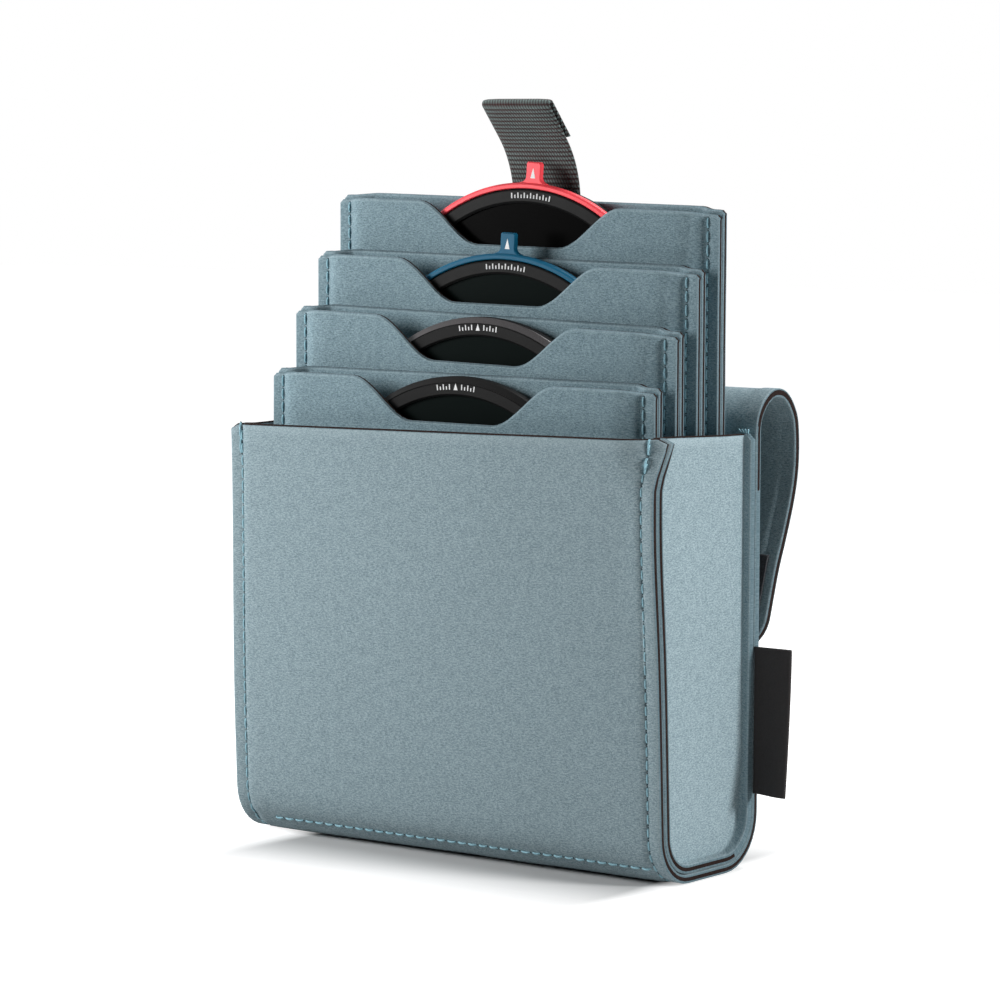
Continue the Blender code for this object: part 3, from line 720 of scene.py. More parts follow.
def flap_curve():
    """The flap's runs made into one smooth line, which keeps to the middle of each run."""
    points = [Vector(p) for p in [(BACK_FACE - LAMINATE / 2, FLAP_ROOT - 0.006), *FLAP_POLYGON]]
    middles = [(a + b) / 2 for a, b in zip(points, points[1:])]
    result = []
    for k in range(1, len(points) - 1):
        start, corner, end = middles[k - 1], points[k], middles[k]
        steps = 16 if k == len(points) - 2 else 6
        for s in range(steps):
            t = s / steps
            result.append(start * (1 - t) ** 2 + corner * 2 * t * (1 - t) + end * t * t)
    last = middles[-1]
    result += [last.lerp(points[-1], k / 12) for k in range(13)]
    return [tuple(p) for p in result]


def wrap_line():
    """The middle line of the strip, from the front rim under the base and up the back to the flap's end."""
    start = (BACK_FACE - LAMINATE / 2, FLAP_ROOT - 0.003)
    section = pouch_section(LAMINATE / 2, start[1])
    return section[:-1] + flap_curve()


WRAP_LINE = [Vector(p) for p in wrap_line()]
WRAP_STATIONS = [0.0]
for _first, _second in zip(WRAP_LINE, WRAP_LINE[1:]):
    WRAP_STATIONS.append(WRAP_STATIONS[-1] + (_second - _first).length)


def nearest_row(place):
    at = Vector(place)
    return min(range(len(WRAP_LINE)), key=lambda k: (WRAP_LINE[k] - at).length)


def line_normal(k):
    """The outward direction of the strip at this row, in Y and Z."""
    before = WRAP_LINE[max(k - 1, 0)]
    after = WRAP_LINE[min(k + 1, len(WRAP_LINE) - 1)]
    along = (after - before).normalized()
    return Vector((along.y, -along.x))


FOOT_STITCH_HEIGHT = 0.0048
FRONT_FOOT_ROW = min(
    range(LINE_STEPS, LINE_STEPS + ARC_STEPS), key=lambda k: abs(WRAP_LINE[k].y - FOOT_STITCH_HEIGHT)
)
SEAM_END_ROW = nearest_row((BACK_FACE - LAMINATE / 2, RIM - 0.001))
FLAP_SIDE_ROW = LINE_STEPS + 2 * ARC_STEPS + BASE_STEPS - 3
STITCH_X = HALF_WIDTH - SEAM_INSET
NEAR_SEAM = [HALF_WIDTH, 0.0618, 0.0606, 0.0598, 0.0593, STITCH_X, 0.0587, 0.0582, 0.0572, 0.0555]
WRAP_COLUMNS = sorted(set(mirrored(NEAR_SEAM + [0.0025 * k for k in range(22)])))


def pressed(distance, depth):
    """How deep the thread pulls the cloth in, this far from the stitches."""
    return depth * math.exp(-((distance / 0.0009) ** 2))


def tip_half_width(from_end):
    if from_end >= FLAP_CORNER_RADIUS:
        return HALF_WIDTH
    drop = FLAP_CORNER_RADIUS - from_end
    return HALF_WIDTH - FLAP_CORNER_RADIUS + math.sqrt(max(FLAP_CORNER_RADIUS**2 - drop * drop, 0))


def corner_curl(x, z):
    """How far back the right end of the front rim leans, with the seam bowing forward a little below it."""
    back = CORNER_CURL * smooth((z - 0.0905) / 0.0115)
    forward = SEAM_BOW * math.exp(-(((z - 0.079) / 0.020) ** 2))
    return (back - forward) * smooth((x - 0.0525) / 0.0125)


def corner_drop(x, z):
    """How far the rim drops at the outer corner of each seam, which is rounded."""
    return CORNER_DROP * smooth((abs(x) - 0.0606) / 0.0019) * smooth((z - 0.0985) / 0.0035)


def leg_bow(y, z):
    """How far the flap's leg bows out behind its arch."""
    return LEG_BOW * smooth((y - 0.0265) / 0.003) * math.exp(-(((z - 0.090) / 0.015) ** 2))


def rim_tilt(x, z):
    """How far the rim rises towards the right, as the photograph has it."""
    return RIM_TILT * x / HALF_WIDTH * smooth((z - 0.085) / 0.017)


def base_spread(x, z):
    """How far the left side stands out towards the base, where the loaded pouch sags."""
    return -BASE_SPREAD * smooth(-x / HALF_WIDTH) * smooth((0.105 - z) / 0.080)


def wrap_point(x, k, lift=0.0):
    """A point of the strip this far from the middle, in this row; lift is outward from the mid-plane."""
    y, z = WRAP_LINE[k]
    out = line_normal(k)
    station = WRAP_STATIONS[k]
    press = pressed(abs(x) - STITCH_X, 0.00035) if k <= SEAM_END_ROW else 0.0
    if k <= LINE_STEPS + ARC_STEPS and abs(x) < STITCH_X:
        press += pressed(station - WRAP_STATIONS[FRONT_FOOT_ROW], 0.0003)
    bulge = BULGE + ripple((x, station, 0), 0.024, BULGE) if abs(x) < HALF_WIDTH - 0.004 else 0.0
    height = lift - press + bulge
    point = Vector((x + base_spread(x, z), y + out.x * height, z + out.y * height))
    if k >= FLAP_SIDE_ROW:
        point.y += leg_bow(y, z)
        point.z += ARCH_RISE * smooth((z - 0.1065) / 0.006)
    if k <= LINE_STEPS:
        point.y += corner_curl(x, z)
        point.z += rim_tilt(x, z)
        point.z -= corner_drop(x, z)
    return point


def whole_wrap():
    """The strip as one slab, whose faces know their row, to be cut where the flap's joints are."""
    end = WRAP_STATIONS[-1]

    def place(i, j):
        x = WRAP_COLUMNS[i] * tip_half_width(end - WRAP_STATIONS[j]) / HALF_WIDTH
        return wrap_point(x, j), (x, -WRAP_STATIONS[j])

    shape, _ = grid_surface(len(WRAP_COLUMNS), len(WRAP_LINE), place)
    bmesh.ops.reverse_faces(shape, faces=shape.faces)
    return laminate(shape, LAMINATE / 2, wrap_core)


def cut_piece(source, name, first, last, body, replaced):
    """The rows from first to last of the whole strip as a closed piece with the strip's own shading."""
    shape = source.copy()
    row = shape.verts.layers.int["row"]
    normal_layer = shape.verts.layers.float_vector["strip_normal"]
    away = [v for v in shape.verts if not first <= v[row] <= last]
    bmesh.ops.delete(shape, geom=away, context="VERTS")
    open_edges = [e for e in shape.edges if e.is_boundary]
    if open_edges:
        made = bmesh.ops.holes_fill(shape, edges=open_edges, sides=0)
        for face in made["faces"]:
            face.material_index = CORE_SIDE
    wanted = [v[normal_layer].copy() for v in shape.verts]
    piece = finished(name, shape, [KNIT, CORE], body, replaced)
    piece.data.normals_split_custom_set_from_vertices(wanted)
    return piece


def wrap_and_flap():
    whole = whole_wrap()
    whole.normal_update()
    layer = whole.verts.layers.float_vector.new("strip_normal")
    for vert in whole.verts:
        vert[layer] = vert.normal
    root = WRAP_STATIONS[nearest_row(FLAP_POLYGON[0])]
    cuts = [
        min(range(len(WRAP_LINE)), key=lambda row: abs(WRAP_STATIONS[row] - root - distance))
        for distance in FLAP_CUTS
    ]
    last = len(WRAP_LINE) - 1
    wrap = cut_piece(whole, "wrap_cloth", 0, cuts[0], "case", ["wrap_panel"])
    names = ("flap_root_cloth", "flap_arch_cloth", "flap_back_cloth", "flap_leg_cloth")
    replaced = (["flap_root_strip"], ["flap_arch_strip"], ["flap_upper_leg"], [])
    for k, name in enumerate(names):
        piece = cut_piece(whole, name, cuts[k], cuts[k + 1], None, replaced[k])
        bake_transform(piece)
    tip = cut_piece(whole, "flap_tip_cloth", cuts[-1], last, "flap_tip", ["flap_tip_panel"])
    whole.free()


def side_cloth(name, side, node_name):
    """A side wall with its flange turned outward: a wall grid whose three sewn sides bend into the flange."""
    flange = LAMINATE + GAP + LAMINATE / 2
    outline = pouch_section(flange + WALL_BEND)
    rows = LINE_STEPS + ARC_STEPS
    last = len(outline) - 1
    columns = BASE_STEPS + 1

    def wall_place(i, j):
        left, right = outline[j], outline[last - j]
        share = i / (columns - 1)
        y = left[0] + (right[0] - left[0]) * share
        z = left[1] + (right[1] - left[1]) * share
        middle = math.sin(math.pi * share) * smooth((z - 0.006) / 0.03)
        x = WALL_MIDDLE + 2 * BULGE * middle + ripple((y, z, side), 0.02, BULGE)
        return Vector((side * x, y, z)), (y, z)

    shape, table = grid_surface(columns, rows + 1, wall_place)
    cut = shape.verts.layers.float_vector["cut_place"]
    row = shape.verts.layers.int["row"]
    front = [table[j][0] for j in range(rows + 1)]
    back = [table[j][-1] for j in range(rows, -1, -1)]
    before = rim = front + table[rows][1:-1] + back
    steps = [(math.sin(a), 1 - math.cos(a)) for a in (math.pi / 2 * k / 4 for k in range(1, 5))]
    flange_end = HALF_WIDTH - WALL_MIDDLE - WALL_BEND
    levels = [(flange + WALL_BEND * (1 - s), WALL_MIDDLE + WALL_BEND * c) for s, c in steps]
    levels += [(flange, WALL_MIDDLE + WALL_BEND + flange_end * k / 3) for k in (1, 2, 3)]
    walked = 0.0
    for inset, x in levels:
        section = pouch_section(inset)
        walked += 0.0008
        line_verts = []
        for k, source in enumerate(rim):
            y, z = section[k]
            made = shape.verts.new((side * x, y, z))
            made[cut] = source[cut] + Vector((walked, walked * 0.3, 0))
            made[row] = source[row]
            line_verts.append(made)
        for k in range(len(rim) - 1):
            shape.faces.new((before[k], line_verts[k], line_verts[k + 1], before[k + 1]))
        before = line_verts
    for vert in shape.verts:
        x, y, z = vert.co
        vert.co.x += base_spread(x, z)
        vert.co.y += corner_curl(x, z) * smooth((-y - 0.006) / 0.012)
        vert.co.z += rim_tilt(x, z) * (1 - smooth((y + 0.018) / 0.034))
        vert.co.z -= corner_drop(x, z)
        inner = min(max((HALF_WIDTH - abs(x)) / (HALF_WIDTH - WALL_MIDDLE), 0), 1)
        vert.co.x += side * WALL_FOLD * smooth((y + 0.002) / 0.017) * inner * smooth((z - 0.012) / 0.015)
    bmesh.ops.recalc_face_normals(shape, faces=shape.faces)
    shape.faces.ensure_lookup_table()
    if shape.faces[0].normal.x * side < 0:
        bmesh.ops.reverse_faces(shape, faces=shape.faces)
    surface = area_of(shape)
    solid = laminate(shape, LAMINATE / 2, side_core)
    piece = finished(name, solid, [KNIT, CORE], "case", [node_name])


def case_stitches():
    """The side seams, each tacked twice at the front rim, the foot's row, and a tuft of thread ends."""
    threads, holes = bmesh.new(), bmesh.new()
    rows = range(SEAM_END_ROW + 1)
    normals = [Vector((0, *line_normal(k))) for k in rows]
    for side, lift in ((-1, THREAD_LIFT), (1, THREAD_SUNK)):
        points = [wrap_point(side * STITCH_X, k, LAMINATE / 2) for k in rows]
        stitch_row(threads, holes, points, normals, 0.0010, side, lift)
        for back in (0.0, 0.0012):
            tack = [p + Vector((side * 0.0004, -0.0001, back)) for p in points[:4]]
            stitch_row(threads, holes, tack, normals[:4], 0.0, 3)
    start = -0.0535
    across = [start + (STITCH_X - start) * k / 60 for k in range(61)]
    points = [wrap_point(x, FRONT_FOOT_ROW, LAMINATE / 2) for x in across]
    stitch_row(threads, holes, points, [normals[FRONT_FOOT_ROW]] * len(points), 0.0008, 5)
    up = Vector((0, -1, 0.3)).normalized()
    for k in range(4):
        foot = Vector((0.0592 + 0.0004 * k, 0.0170, RIM - 0.0004))
        bends = ((0, 0, 0), (0.0002 * k, -0.0004, 0.0008), (0.0005 * (k - 1), -0.0009, 0.0017))
        tube_chain(threads, [foot + Vector(bend) for bend in bends], [up] * 3, THREAD_RADIUS * 0.8)
    finish_stitches("case", "", threads, holes, "case")


# Sleeves


def notch_drop(x):
    return NOTCH_DEPTH * (1 - smooth((abs(x) - NOTCH_FLOOR) / (NOTCH_TOP - NOTCH_FLOOR)))


def sleeve_columns():
    edge = SLEEVE_HALF_WIDTH
    stitch = edge - SLEEVE_STITCH
    near = [edge - step for step in (0, 0.0004, 0.0008, 0.0018)]
    near += [stitch + step for step in (0.0004, 0, -0.0005, -0.0012)]
    swell = [edge - SLEEVE_SEAM - SIDE_SWELL_RUN * k / 4 for k in range(1, 5)]
    middle = [m for m in (0.0015 * k for k in range(31)) if m < edge - 0.0095]
    return sorted(set(mirrored(near + swell + middle)))


SLEEVE_COLUMNS = sleeve_columns()
FRONT_DROP = 0.0011
SLEEVE_ROWS = [0.0, 0.0012, 0.0024, 0.0032, 0.0042, 0.0052, 0.0062, 0.0072]
SLEEVE_ROWS += [0.010 + 0.003 * k for k in range(19)]
NOTCH_ROWS = [0.1, 0.2, 0.3, 0.4, 0.5, 0.6, 0.7, 0.8, 0.88, 0.94, 0.98, 1.0]


def sleeve_place(number, facing, x, z, lift=0.0):
    """A point on the mid-plane of a sleeve's panel, or this far outward from it."""
    side = smooth((SLEEVE_HALF_WIDTH - SLEEVE_SEAM - abs(x)) / SIDE_SWELL_RUN)
    foot = smooth((z - FOOT_SEAM) / FOOT_SWELL_RUN)
    inner = GAP / 2 + (SWELL + GAP / 2) * side * foot + SLEEVE_SKIN / 2
    inner -= pressed(abs(x) - (SLEEVE_HALF_WIDTH - SLEEVE_STITCH), 0.00018)
    inner += ripple((x, z, number + facing), 0.018, 0.00008)
    high = smooth((z - 0.050) / 0.040)
    z -= high * SLEEVE_SLOPE[number] * x / SLEEVE_HALF_WIDTH
    z -= high * 0.0006 * smooth((abs(x) - 0.0475) / 0.0070)
    z -= 0.0007 * smooth((z - 0.088) / 0.006) * smooth((abs(x) - 0.0555) / 0.0010)
    return Vector((x, SLEEVE_Y[number] + facing * (inner + lift), SLEEVE_FOOT[number] + z))


def sleeve_cloth(number, facing):
    """One sheet of a sleeve, stitched flat at its sides and foot and swelling over the filter between."""

    def place(i, j):
        x = SLEEVE_COLUMNS[i]
        top = SLEEVE_HEIGHT - (notch_drop(x) + FRONT_DROP if facing < 0 else 0)
        split = SLEEVE_ROWS[-1]
        above = j - len(SLEEVE_ROWS)
        z = SLEEVE_ROWS[j] if above < 0 else split + (top - split) * NOTCH_ROWS[above]
        return sleeve_place(number, facing, x, z), (x + number * 0.31, z + facing * 0.17)

    shape, _ = grid_surface(len(SLEEVE_COLUMNS), len(SLEEVE_ROWS) + len(NOTCH_ROWS), place)
    shape.faces.ensure_lookup_table()
    shape.normal_update()
    if shape.faces[0].normal.y * facing < 0:
        bmesh.ops.reverse_faces(shape, faces=shape.faces)
    surface = area_of(shape)
    side = "front" if facing < 0 else "back"
    name, body, replaced = f"sleeve_{side}_cloth_{number}", f"sleeve_{number}", [f"sleeve_{side}_{number}"]
    solid = laminate(shape, SLEEVE_SKIN / 2)
    piece = finished(name, solid, [SLEEVE_KNIT_WITH_PAINTED_SHADE, CORE], body, replaced)


def sleeve_stitches(number):
    threads, holes = bmesh.new(), bmesh.new()
    x = SLEEVE_HALF_WIDTH - SLEEVE_STITCH
    for facing in (-1, 1):
        normal = Vector((0, facing, 0))
        for side in (-1, 1):
            steps = [(SLEEVE_HEIGHT - FRONT_DROP) * k / 48 for k in range(49)]
            points = [sleeve_place(number, facing, side * x, z, SLEEVE_SKIN / 2) for z in steps]
            stitch_row(threads, holes, points, [normal] * len(points), 0.0002, number + side)
        across = [x * (-1 + 2 * k / 60) for k in range(61)]
        points = [sleeve_place(number, facing, a, 0.0016, SLEEVE_SKIN / 2) for a in across]
        stitch_row(threads, holes, points, [normal] * len(points), 0.0012, number)
    finish_stitches("sleeve", f"_{number}", threads, holes, f"sleeve_{number}")


def web_cloth(number):
    """The lining strip that joins a sleeve's foot to what is in front of it, hanging in a soft curve."""
    low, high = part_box(f"lift_web_{number}")
    thick = 0.0003
    steps = 14
    columns = [low.x + (high.x - low.x) * k / 20 for k in range(21)]

    def place(i, j):
        share = j / steps
        y = low.y + thick + (high.y - low.y - 2 * thick) * share
        z = low.z + thick + (high.z - low.z - 2 * thick) * smooth(share * 1.05)
        return Vector((columns[i], y, z)), (columns[i], share * (high.z - low.z))

    shape, _ = grid_surface(len(columns), steps + 1, place)
    surface = area_of(shape)
    solid = laminate(shape, thick, no_core)
    body = f"sleeve_{number}"
    piece = finished(f"web_cloth_{number}", solid, [LINING], body, [f"lift_web_{number}"])
    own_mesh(piece)


# Filters


def turned(name, replaced, number, profile, materials, indices=None):
    """A ring or disc turned about the filter's axis, from (radius, depth towards the front) all round."""
    centre = filter_centre(number)
    shape = bmesh.new()
    rings = []
    for radius, depth in profile:
        ring = []
        for s in range(TURNED_STEPS if radius else 1):
            angle = 2 * math.pi * s / TURNED_STEPS
            around = Vector((radius * math.sin(angle), -depth, radius * math.cos(angle)))
            ring.append(shape.verts.new(centre + around))
        rings.append(ring)
    following = rings[1:] + (rings[:1] if profile[0][0] else [])
    for k, (first, second) in enumerate(zip(rings, following)):
        for s in range(TURNED_STEPS):
            t = (s + 1) % TURNED_STEPS
            around = ((first, s), (second, s), (second, t), (first, t))
            corners = [ring[step % len(ring)] for ring, step in around]
            face = shape.faces.new(list(dict.fromkeys(corners)))
            face.material_index = indices[k] if indices else 0
    bmesh.ops.recalc_face_normals(shape, faces=shape.faces)
    body = f"filter_{number}"
    node_names = [f"{replaced}_{number}"]
    return finished(f"{name}_{number}", shape, materials, body, node_names, math.radians(28))


TURNED_STEPS = 180
LEVER_TEETH = 7
LIP_DEPTH = 0.0008
LIP_OVERLAP = 0.0007
GLASS_THICKNESS = 0.0014


def glass_and_retainer(number, window):
    radius = window + LIP_OVERLAP - GAP
    top = FILTER_HALF - LIP_DEPTH - GAP
    low = top - GLASS_THICKNESS
    edge = 0.0002
    profile = [
        (0, top), (radius * 0.5, top), (radius - edge, top), (radius, top - edge), (radius, low + edge),
        (radius - edge, low), (0, low),
    ]
    pane = BLACK_GLASS if number == 4 else GREEN_GLASS
    turned("glass_pane", "filter_glass", number, profile, [pane])
    high = low - GAP
    deep = high - 0.0012
    inner = radius - 0.0010
    profile = [
        (inner, high), (radius, high), (radius, deep + 0.0003), (radius - edge, deep), (inner + edge, deep),
        (inner, deep + 0.0003),
    ]
    turned("retainer_turned", "retaining_ring", number, profile, [BLACK])


def base_filter(number):
    """A plain filter: a frame with a groove and a bevel in front and a thread at the back, pane and ring."""
    front, back, outer = FILTER_HALF, -FILTER_HALF, BASE_RADIUS
    window = outer - 0.0045
    pocket = window + LIP_OVERLAP
    thread = outer - 0.0030
    rim_back = front - 0.0035
    bevel = outer - 0.0014
    profile = [
        (window, front - 0.0004), (window + 0.0004, front - 0.00005), (bevel - 0.0003, front),
        (bevel - 0.00022, front - 0.00025), (bevel - 0.00008, front - 0.00025), (bevel, front - 0.00004),
        (outer - 0.0001, front - 0.0009), (outer, front - 0.0011), (outer, rim_back + 0.0004),
        (outer - 0.0004, rim_back), (thread, rim_back), (thread, back + 0.0002), (thread - 0.0002, back),
        (pocket, back), (pocket, front - LIP_DEPTH), (window, front - LIP_DEPTH),
    ]
    finish = [int(number == 2 and k in (5, 6)) for k in range(len(profile))]
    turned("frame_turned", "filter_frame", number, profile, [BLACK, BEVEL], finish)
    glass_and_retainer(number, window)
    marks(number, outer - 0.0026)


def lever_filter(number, colour):
    """A filter whose coloured ring turns on its carrier by a lever, with pane and ring."""
    front, back, outer = FILTER_HALF, -FILTER_HALF, LEVER_RADIUS
    edge = 0.0005
    inner = outer - 0.0014
    carrier = inner - GAP
    window = carrier - CARRIER_WIDTH
    pocket = window + LIP_OVERLAP
    shoulder = outer - edge
    band_back = front - COLOUR_DEPTH
    profile = [
        (window, front - 0.0005), (window + 0.0005, front - 0.0001), (carrier - 0.0003, front - 0.0001),
        (carrier, front - 0.0003), (carrier, band_back - GAP), (shoulder, band_back - GAP),
        (shoulder, back + 0.0003), (shoulder - 0.0003, back), (pocket, back), (pocket, front - LIP_DEPTH),
        (window, front - LIP_DEPTH),
    ]
    turned("carrier_turned", "filter_carrier", number, profile, [BLACK])
    profile = [
        (inner, front - 0.0002), (inner + 0.0002, front), (shoulder, front), (outer - 0.0001, front - 0.0003),
        (outer, front - edge), (outer, band_back + edge), (shoulder, band_back), (inner, band_back),
    ]
    turned("colour_band", "colour_ring", number, profile, [colour])
    lever(number, colour)
    glass_and_retainer(number, window)
    marks(number, carrier - 0.0015, LEVER_TURNS[number])


def lever(number, colour):
    """The finger that turns the ring, flared at its root, with fine teeth on its end."""
    tip, half, flare = LEVER_RADIUS + 0.0050, 0.0021, 0.0017
    front, back = FILTER_HALF - 0.0005, FILTER_HALF - 0.0018
    angles = [math.pi / 2 * k / 6 for k in range(7)]
    right = [(half + flare, LEVER_RADIUS - 0.0006)]
    right += [(half + flare - flare * math.sin(a), LEVER_RADIUS + 0.0015 * (1 - math.cos(a))) for a in angles]
    right.append((half, tip - 0.0004))
    toothed = 2 * half - 0.0004
    step = toothed / LEVER_TEETH / 2
    top = []
    for k in range(LEVER_TEETH):
        x = half - 0.0002 - toothed * (k + 0.5) / LEVER_TEETH
        top += [(x + step * 0.8, tip - 0.00018), (x + step * 0.35, tip), (x - step * 0.35, tip)]
    points = right + top + [(-x, z) for x, z in reversed(right)]
    turn = Matrix.Rotation(LEVER_TURNS[number], 3, "Y")
    shape = bmesh.new()
    levels = []
    for y, inset in ((-front, 0.00018), (0.0002 - front, 0.0), (-back, 0.0)):
        corners = [Vector((x * (1 - inset / half), y, z - inset * (z > LEVER_RADIUS))) for x, z in points]
        levels.append([shape.verts.new(filter_centre(number) + turn @ corner) for corner in corners])
    for first, second in zip(levels, levels[1:]):
        join_rings(shape, first, second)
    shape.faces.new(levels[0])
    shape.faces.new(levels[-1][::-1])
    bmesh.ops.recalc_face_normals(shape, faces=shape.faces)
    body = f"filter_{number}"
    finished(f"lever_finger_{number}", shape, [colour], body, sharp=math.radians(30))
    z = LEVER_RADIUS + 0.0011
    printed("lever_mark", number, [[(-0.0007, z), (0.0007, z), (0, z + 0.0025)]], front, LEVER_TURNS[number])


def printed(name, number, shapes, depth, turn):
    """White print on a filter: thin raised outlines, in the filter's own X and Z, turned about its axis."""
    turned_by = Matrix.Rotation(turn, 3, "Y")
    shape = bmesh.new()

    def vertex(x, y, z):
        return shape.verts.new(filter_centre(number) + turned_by @ Vector((x, y - depth, z)))

    for outline in shapes:
        low = [vertex(x, 0.00012, z) for x, z in outline]
        high = [vertex(x, -0.00003, z) for x, z in outline]
        shape.faces.new(high)
        shape.faces.new(low[::-1])
        join_rings(shape, low, high)
    bmesh.ops.recalc_face_normals(shape, faces=shape.faces)
    body = f"filter_{number}"
    finished(f"{name}_{number}", shape, [MARK], body, sharp=math.radians(30))


def marks(number, radius, turn=0.0):
    """Plain ticks at the top of the ring, and on a base filter a white triangle between them."""
    shapes = []
    if number < 3:
        shapes.append([(-0.0006, radius - 0.0006), (0.0006, radius - 0.0006), (0, radius + 0.0010)])
    for k in range(-6, 7):
        if number < 3 and abs(k) < 2:
            continue
        angle = math.radians(1.25 * k)
        half = Vector((math.cos(angle), -math.sin(angle))) * 0.00015
        out = Vector((math.sin(angle), math.cos(angle)))
        tall = out * (0.0008 if k % 2 else 0.0013)
        at = out * (radius - 0.0005)
        shapes.append([tuple(c) for c in (at - half, at + half, at + half + tall, at - half + tall)])
    printed("index_marks", number, shapes, FILTER_HALF, turn)


# Pull tab


TAB_HALF = 0.010
TAB_THICK = 0.0006
TAB_RIB = 0.00018
TAB_Y = 0.0171
TAB_ROOT_Z = 0.1568
TAB_ASIDE = 0.0022
TAB_CURVE = 0.024
TAB_STRAIGHT = 0.0098
TAB_TURN = 0.0008
TAB_FOLD_BACK = 0.0108


def webbing_cloth(name, path, body, replaced, turn=0.0):
    """Webbing along a path in Y and Z: raised ribs across it and rounded selvedges."""
    path = [Vector((0, *p)) for p in path]
    total = path_length(path)
    count = max(int(total / 0.0002), 8)
    across = mirrored([0, 0.3, 0.6, 0.88, 0.95, 0.985, 1.0])
    shape = bmesh.new()
    uv = shape.loops.layers.uv.new("cloth")
    place = {}
    rings = []
    for k in range(count + 1):
        distance = total * k / count
        at, along, _, _ = along_path(path, distance)
        out = Vector((0, along.z, -along.y))
        rib = abs(math.cos(math.pi * distance / RIB))
        ring = []
        for face in (1, -1):
            for a in across if face > 0 else across[::-1]:
                bow = math.sqrt(max(1 - a**8, 0.0))
                height = face * bow * (TAB_THICK - TAB_RIB + TAB_RIB * rib)
                vert = shape.verts.new(at + Vector((a * TAB_HALF + TAB_ASIDE, 0, 0)) + out * height)
                place[vert] = (a * TAB_HALF, distance + turn)
                ring.append(vert)
        rings.append(ring)
    for first, second in zip(rings, rings[1:]):
        for s in range(len(first)):
            t = (s + 1) % len(first)
            shape.faces.new((first[s], second[s], second[t], first[t]))
    shape.faces.new(rings[0])
    shape.faces.new(rings[-1][::-1])
    for face in shape.faces:
        for loop in face.loops:
            loop[uv].uv = place[loop.vert]
    bmesh.ops.remove_doubles(shape, verts=shape.verts, dist=0.000001)
    bmesh.ops.recalc_face_normals(shape, faces=shape.faces)
    piece = finished(name, shape, [WEBBING], body, replaced)
    return piece


def pull_tab():
    """The webbing: sewn to the last sleeve, then bent forward in a curve and folded back at its end."""
    low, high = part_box("pull_tab_anchor")
    sewn = line((TAB_Y, low.z), (TAB_Y, high.z), 8)
    webbing_cloth("tab_sewn_cloth", sewn, "sleeve_4", ["pull_tab_anchor"])
    lean, tip = math.radians(5), math.radians(42)
    centre = (TAB_Y - TAB_CURVE * math.cos(lean), TAB_ROOT_Z + GAP / 2 - TAB_CURVE * math.sin(lean))
    curve = [Vector(p) for p in arc(centre, TAB_CURVE, lean, tip, 14)]
    along = Vector((-math.sin(tip), math.cos(tip)))
    out = Vector((math.cos(tip), math.sin(tip)))
    end = curve[-1] + along * TAB_STRAIGHT
    angles = [math.pi * k / 10 for k in range(11)]
    turn = [end + out * TAB_TURN * (1 - math.cos(a)) + along * TAB_TURN * math.sin(a) for a in angles]
    path = [tuple(p) for p in (*curve, *turn, turn[-1] - along * TAB_FOLD_BACK)]
    loose = webbing_cloth("tab_loose_cloth", path, "pull_tab", ["pull_tab_grip"], 0.0264)
    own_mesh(loose)


# Hook patches and label


TIP_LINE = [Vector((0, *p)) for p in reversed(WRAP_LINE[-40:])]
HOOK_TAPE_HALF = 0.00022
HOOK_PITCH = 0.0013
HOOK_HALF = 0.00016
HOOK_LEAN = 0.00028
HOOK_HEIGHT = 0.00042
LABEL_HALF = 0.00016
LABEL_LEAN = 0.0022


def tip_frame(from_end):
    """The flap tip's mid-line point, direction towards the end and outward normal, this far from its end."""
    at, along, _, _ = along_path(TIP_LINE, from_end)
    along = -along
    return at, along, Vector((0, -along.z, along.y))


def hook_patch(name, facing, node_name):
    """Hook tape sewn on the flap's tip: a thin tape with rows of small hooks."""
    half, low, high = HALF_WIDTH - 0.0022, 0.0045, 0.0235
    base = LAMINATE / 2 + GAP
    columns = [half * (-1 + 2 * k / 40) for k in range(41)]
    rows = 13

    def place(i, j):
        x = columns[i]
        at, _, out = tip_frame(low + (high - low) * j / (rows - 1))
        return at + Vector((x, 0, 0)) + out * facing * (base + HOOK_TAPE_HALF), (x, j * 0.0016)

    shape, _ = grid_surface(len(columns), rows, place)
    surface = area_of(shape)
    solid = laminate(shape, HOOK_TAPE_HALF, no_core)
    tape = finished(name, solid, [HOOK], "flap_tip", [node_name])
    hooks = bmesh.new()
    thick = Vector((HOOK_HALF, 0, 0))
    for r in range(int((high - low - 0.003) / HOOK_PITCH)):
        at, along, out = tip_frame(low + 0.0018 + r * HOOK_PITCH)
        wide = along * HOOK_HALF
        rise = Vector((HOOK_LEAN if r % 2 else -HOOK_LEAN, 0, 0)) + out * facing * HOOK_HEIGHT
        for c in range(int((2 * half - 0.004) / HOOK_PITCH)):
            x = -half + 0.0022 + c * HOOK_PITCH + (HOOK_PITCH / 2 if r % 2 else 0)
            foot = at + Vector((x, 0, 0)) + out * facing * (base + 0.0004)
            corners = [foot - wide - thick, foot + wide - thick, foot + wide + thick, foot - wide + thick]
            ring = [hooks.verts.new(p) for p in corners]
            top = [hooks.verts.new(foot + (p - foot) * 0.7 + rise) for p in corners]
            join_rings(hooks, ring, top)
            hooks.faces.new(top)
            hooks.faces.new(ring[::-1])
    bmesh.ops.recalc_face_normals(hooks, faces=hooks.faces)
    finished(name + "_hooks", hooks, [HOOK], "flap_tip", sharp=math.radians(40))


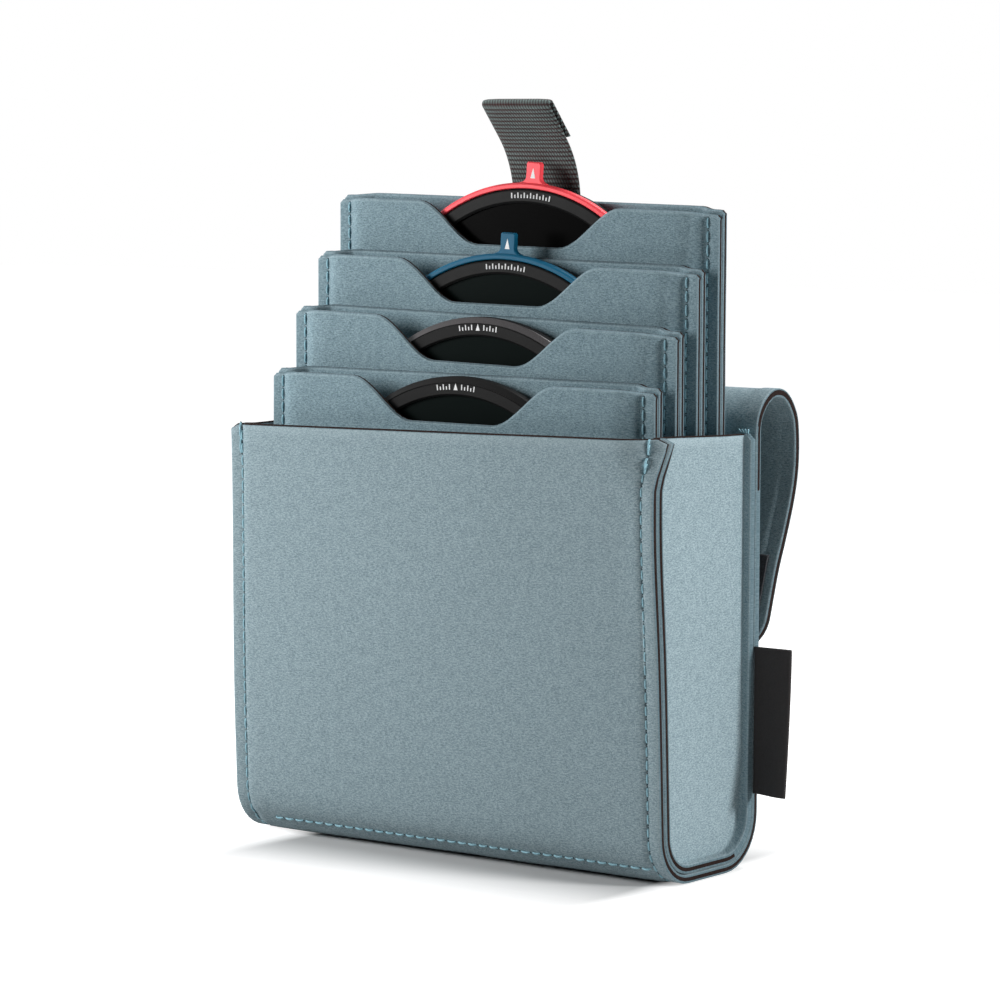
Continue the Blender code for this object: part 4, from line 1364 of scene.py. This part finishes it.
def label():
    """A bare woven label, folded in two over its outer edge and caught in the right rear seam."""
    low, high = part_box("seam_label")
    middle = (low.y + high.y) / 2
    reach = high.x + 0.0008 - low.x
    turn = 0.00022
    angles = [math.pi * k / 6 for k in range(7)]
    path = [(low.x + reach * k / 10, 0.00020) for k in range(10)]
    path += [(low.x + reach - turn + turn * math.sin(a), turn * math.cos(a) * 0.9) for a in angles]
    path += [(low.x + reach * k / 10, -0.00020) for k in range(9, -1, -1)]
    rows = 17

    def place(i, j):
        x, side = path[i]
        share = j / (rows - 1)
        z = low.z + (high.z - low.z) * j / (rows - 1)
        lean = LABEL_LEAN * (1 - share) ** 1.5 * smooth((x - HALF_WIDTH) / 0.0095)
        return Vector((x, middle + side - lean, z)), (i * 0.001, z)

    shape, _ = grid_surface(len(path), rows, place)
    solid = laminate(shape, LABEL_HALF, no_core)
    piece = finished("label_cloth", solid, [LABEL], "case", ["seam_label"])


# Stage


def stage():
    floor = bmesh.new()
    bmesh.ops.create_grid(floor, x_segments=1, y_segments=1, size=3)
    ground = finished("floor", floor, [floor_material()])
    ground.location.z = -0.0002
    world = bpy.data.worlds.new("studio")
    bpy.context.scene.world = world
    world.use_nodes = True
    tree = world.node_tree
    backdrop = tree.nodes["Background"]
    backdrop.inputs["Color"].default_value = (1, 1, 1, 1)
    strength = maths(tree, "MULTIPLY_ADD", seen_by_camera(tree), 1 - ROOM_LIGHT, ROOM_LIGHT)
    tree.links.new(strength, backdrop.inputs["Strength"])
    lamp("side_softbox", (0.85, 0.15, 0.33), 0.18, 6.8)
    lamp("left_softbox", (-0.33, -0.26, 0.22), 0.18, 2.0)
    lamp("top_softbox", (0.05, 0.32, 0.95), 0.30, 6.3)


def lamp(name, place, size, power):
    data = bpy.data.lights.new(name, "AREA")
    data.size = size
    data.energy = power
    made = bpy.data.objects.new(name, data)
    bpy.context.scene.collection.objects.link(made)
    made.location = place
    aim = Vector((0, 0, 0.08)) - Vector(place)
    made.rotation_euler = aim.to_track_quat("-Z", "Y").to_euler()


def camera():
    """The photograph's camera, as fitted to the edges of the case, the sleeves and the filters."""
    azimuth, elevation, roll = math.radians(36.75), math.radians(5.36), math.radians(0.239)
    distance, focal, target = 0.9290, 3880.5, Vector((0.001265, 0, 0.084413))
    level = math.cos(elevation)
    back = Vector((math.sin(azimuth) * level, -math.cos(azimuth) * level, math.sin(elevation)))
    data = bpy.data.cameras.new("camera")
    data.sensor_width = 36
    data.lens = 36 * focal / 1000
    data.clip_start, data.clip_end = 0.05, 20
    made = bpy.data.objects.new("camera", data)
    bpy.context.scene.collection.objects.link(made)
    turn = (-back).to_track_quat("-Z", "Y").to_matrix().to_4x4()
    made.matrix_world = Matrix.Translation(target + back * distance) @ turn @ Matrix.Rotation(roll, 4, "Z")
    bpy.context.scene.camera = made


camera()
stage()
bpy.context.scene.view_settings.view_transform = "Standard"

side_cloth("side_cloth_left", -1, "side_panel_left")
side_cloth("side_cloth_right", 1, "side_panel_right")
wrap_and_flap()
case_stitches()
for sleeve in SLEEVES:
    sleeve_cloth(sleeve, -1)
    sleeve_cloth(sleeve, 1)
    sleeve_stitches(sleeve)
    web_cloth(sleeve)
base_filter(1)
base_filter(2)
lever_filter(3, BLUE)
lever_filter(4, RED)
pull_tab()
hook_patch("hook_tape_fold_back", 1, "hook_patch_fold_back")
hook_patch("hook_tape_closing", -1, "hook_patch_closing")
label()
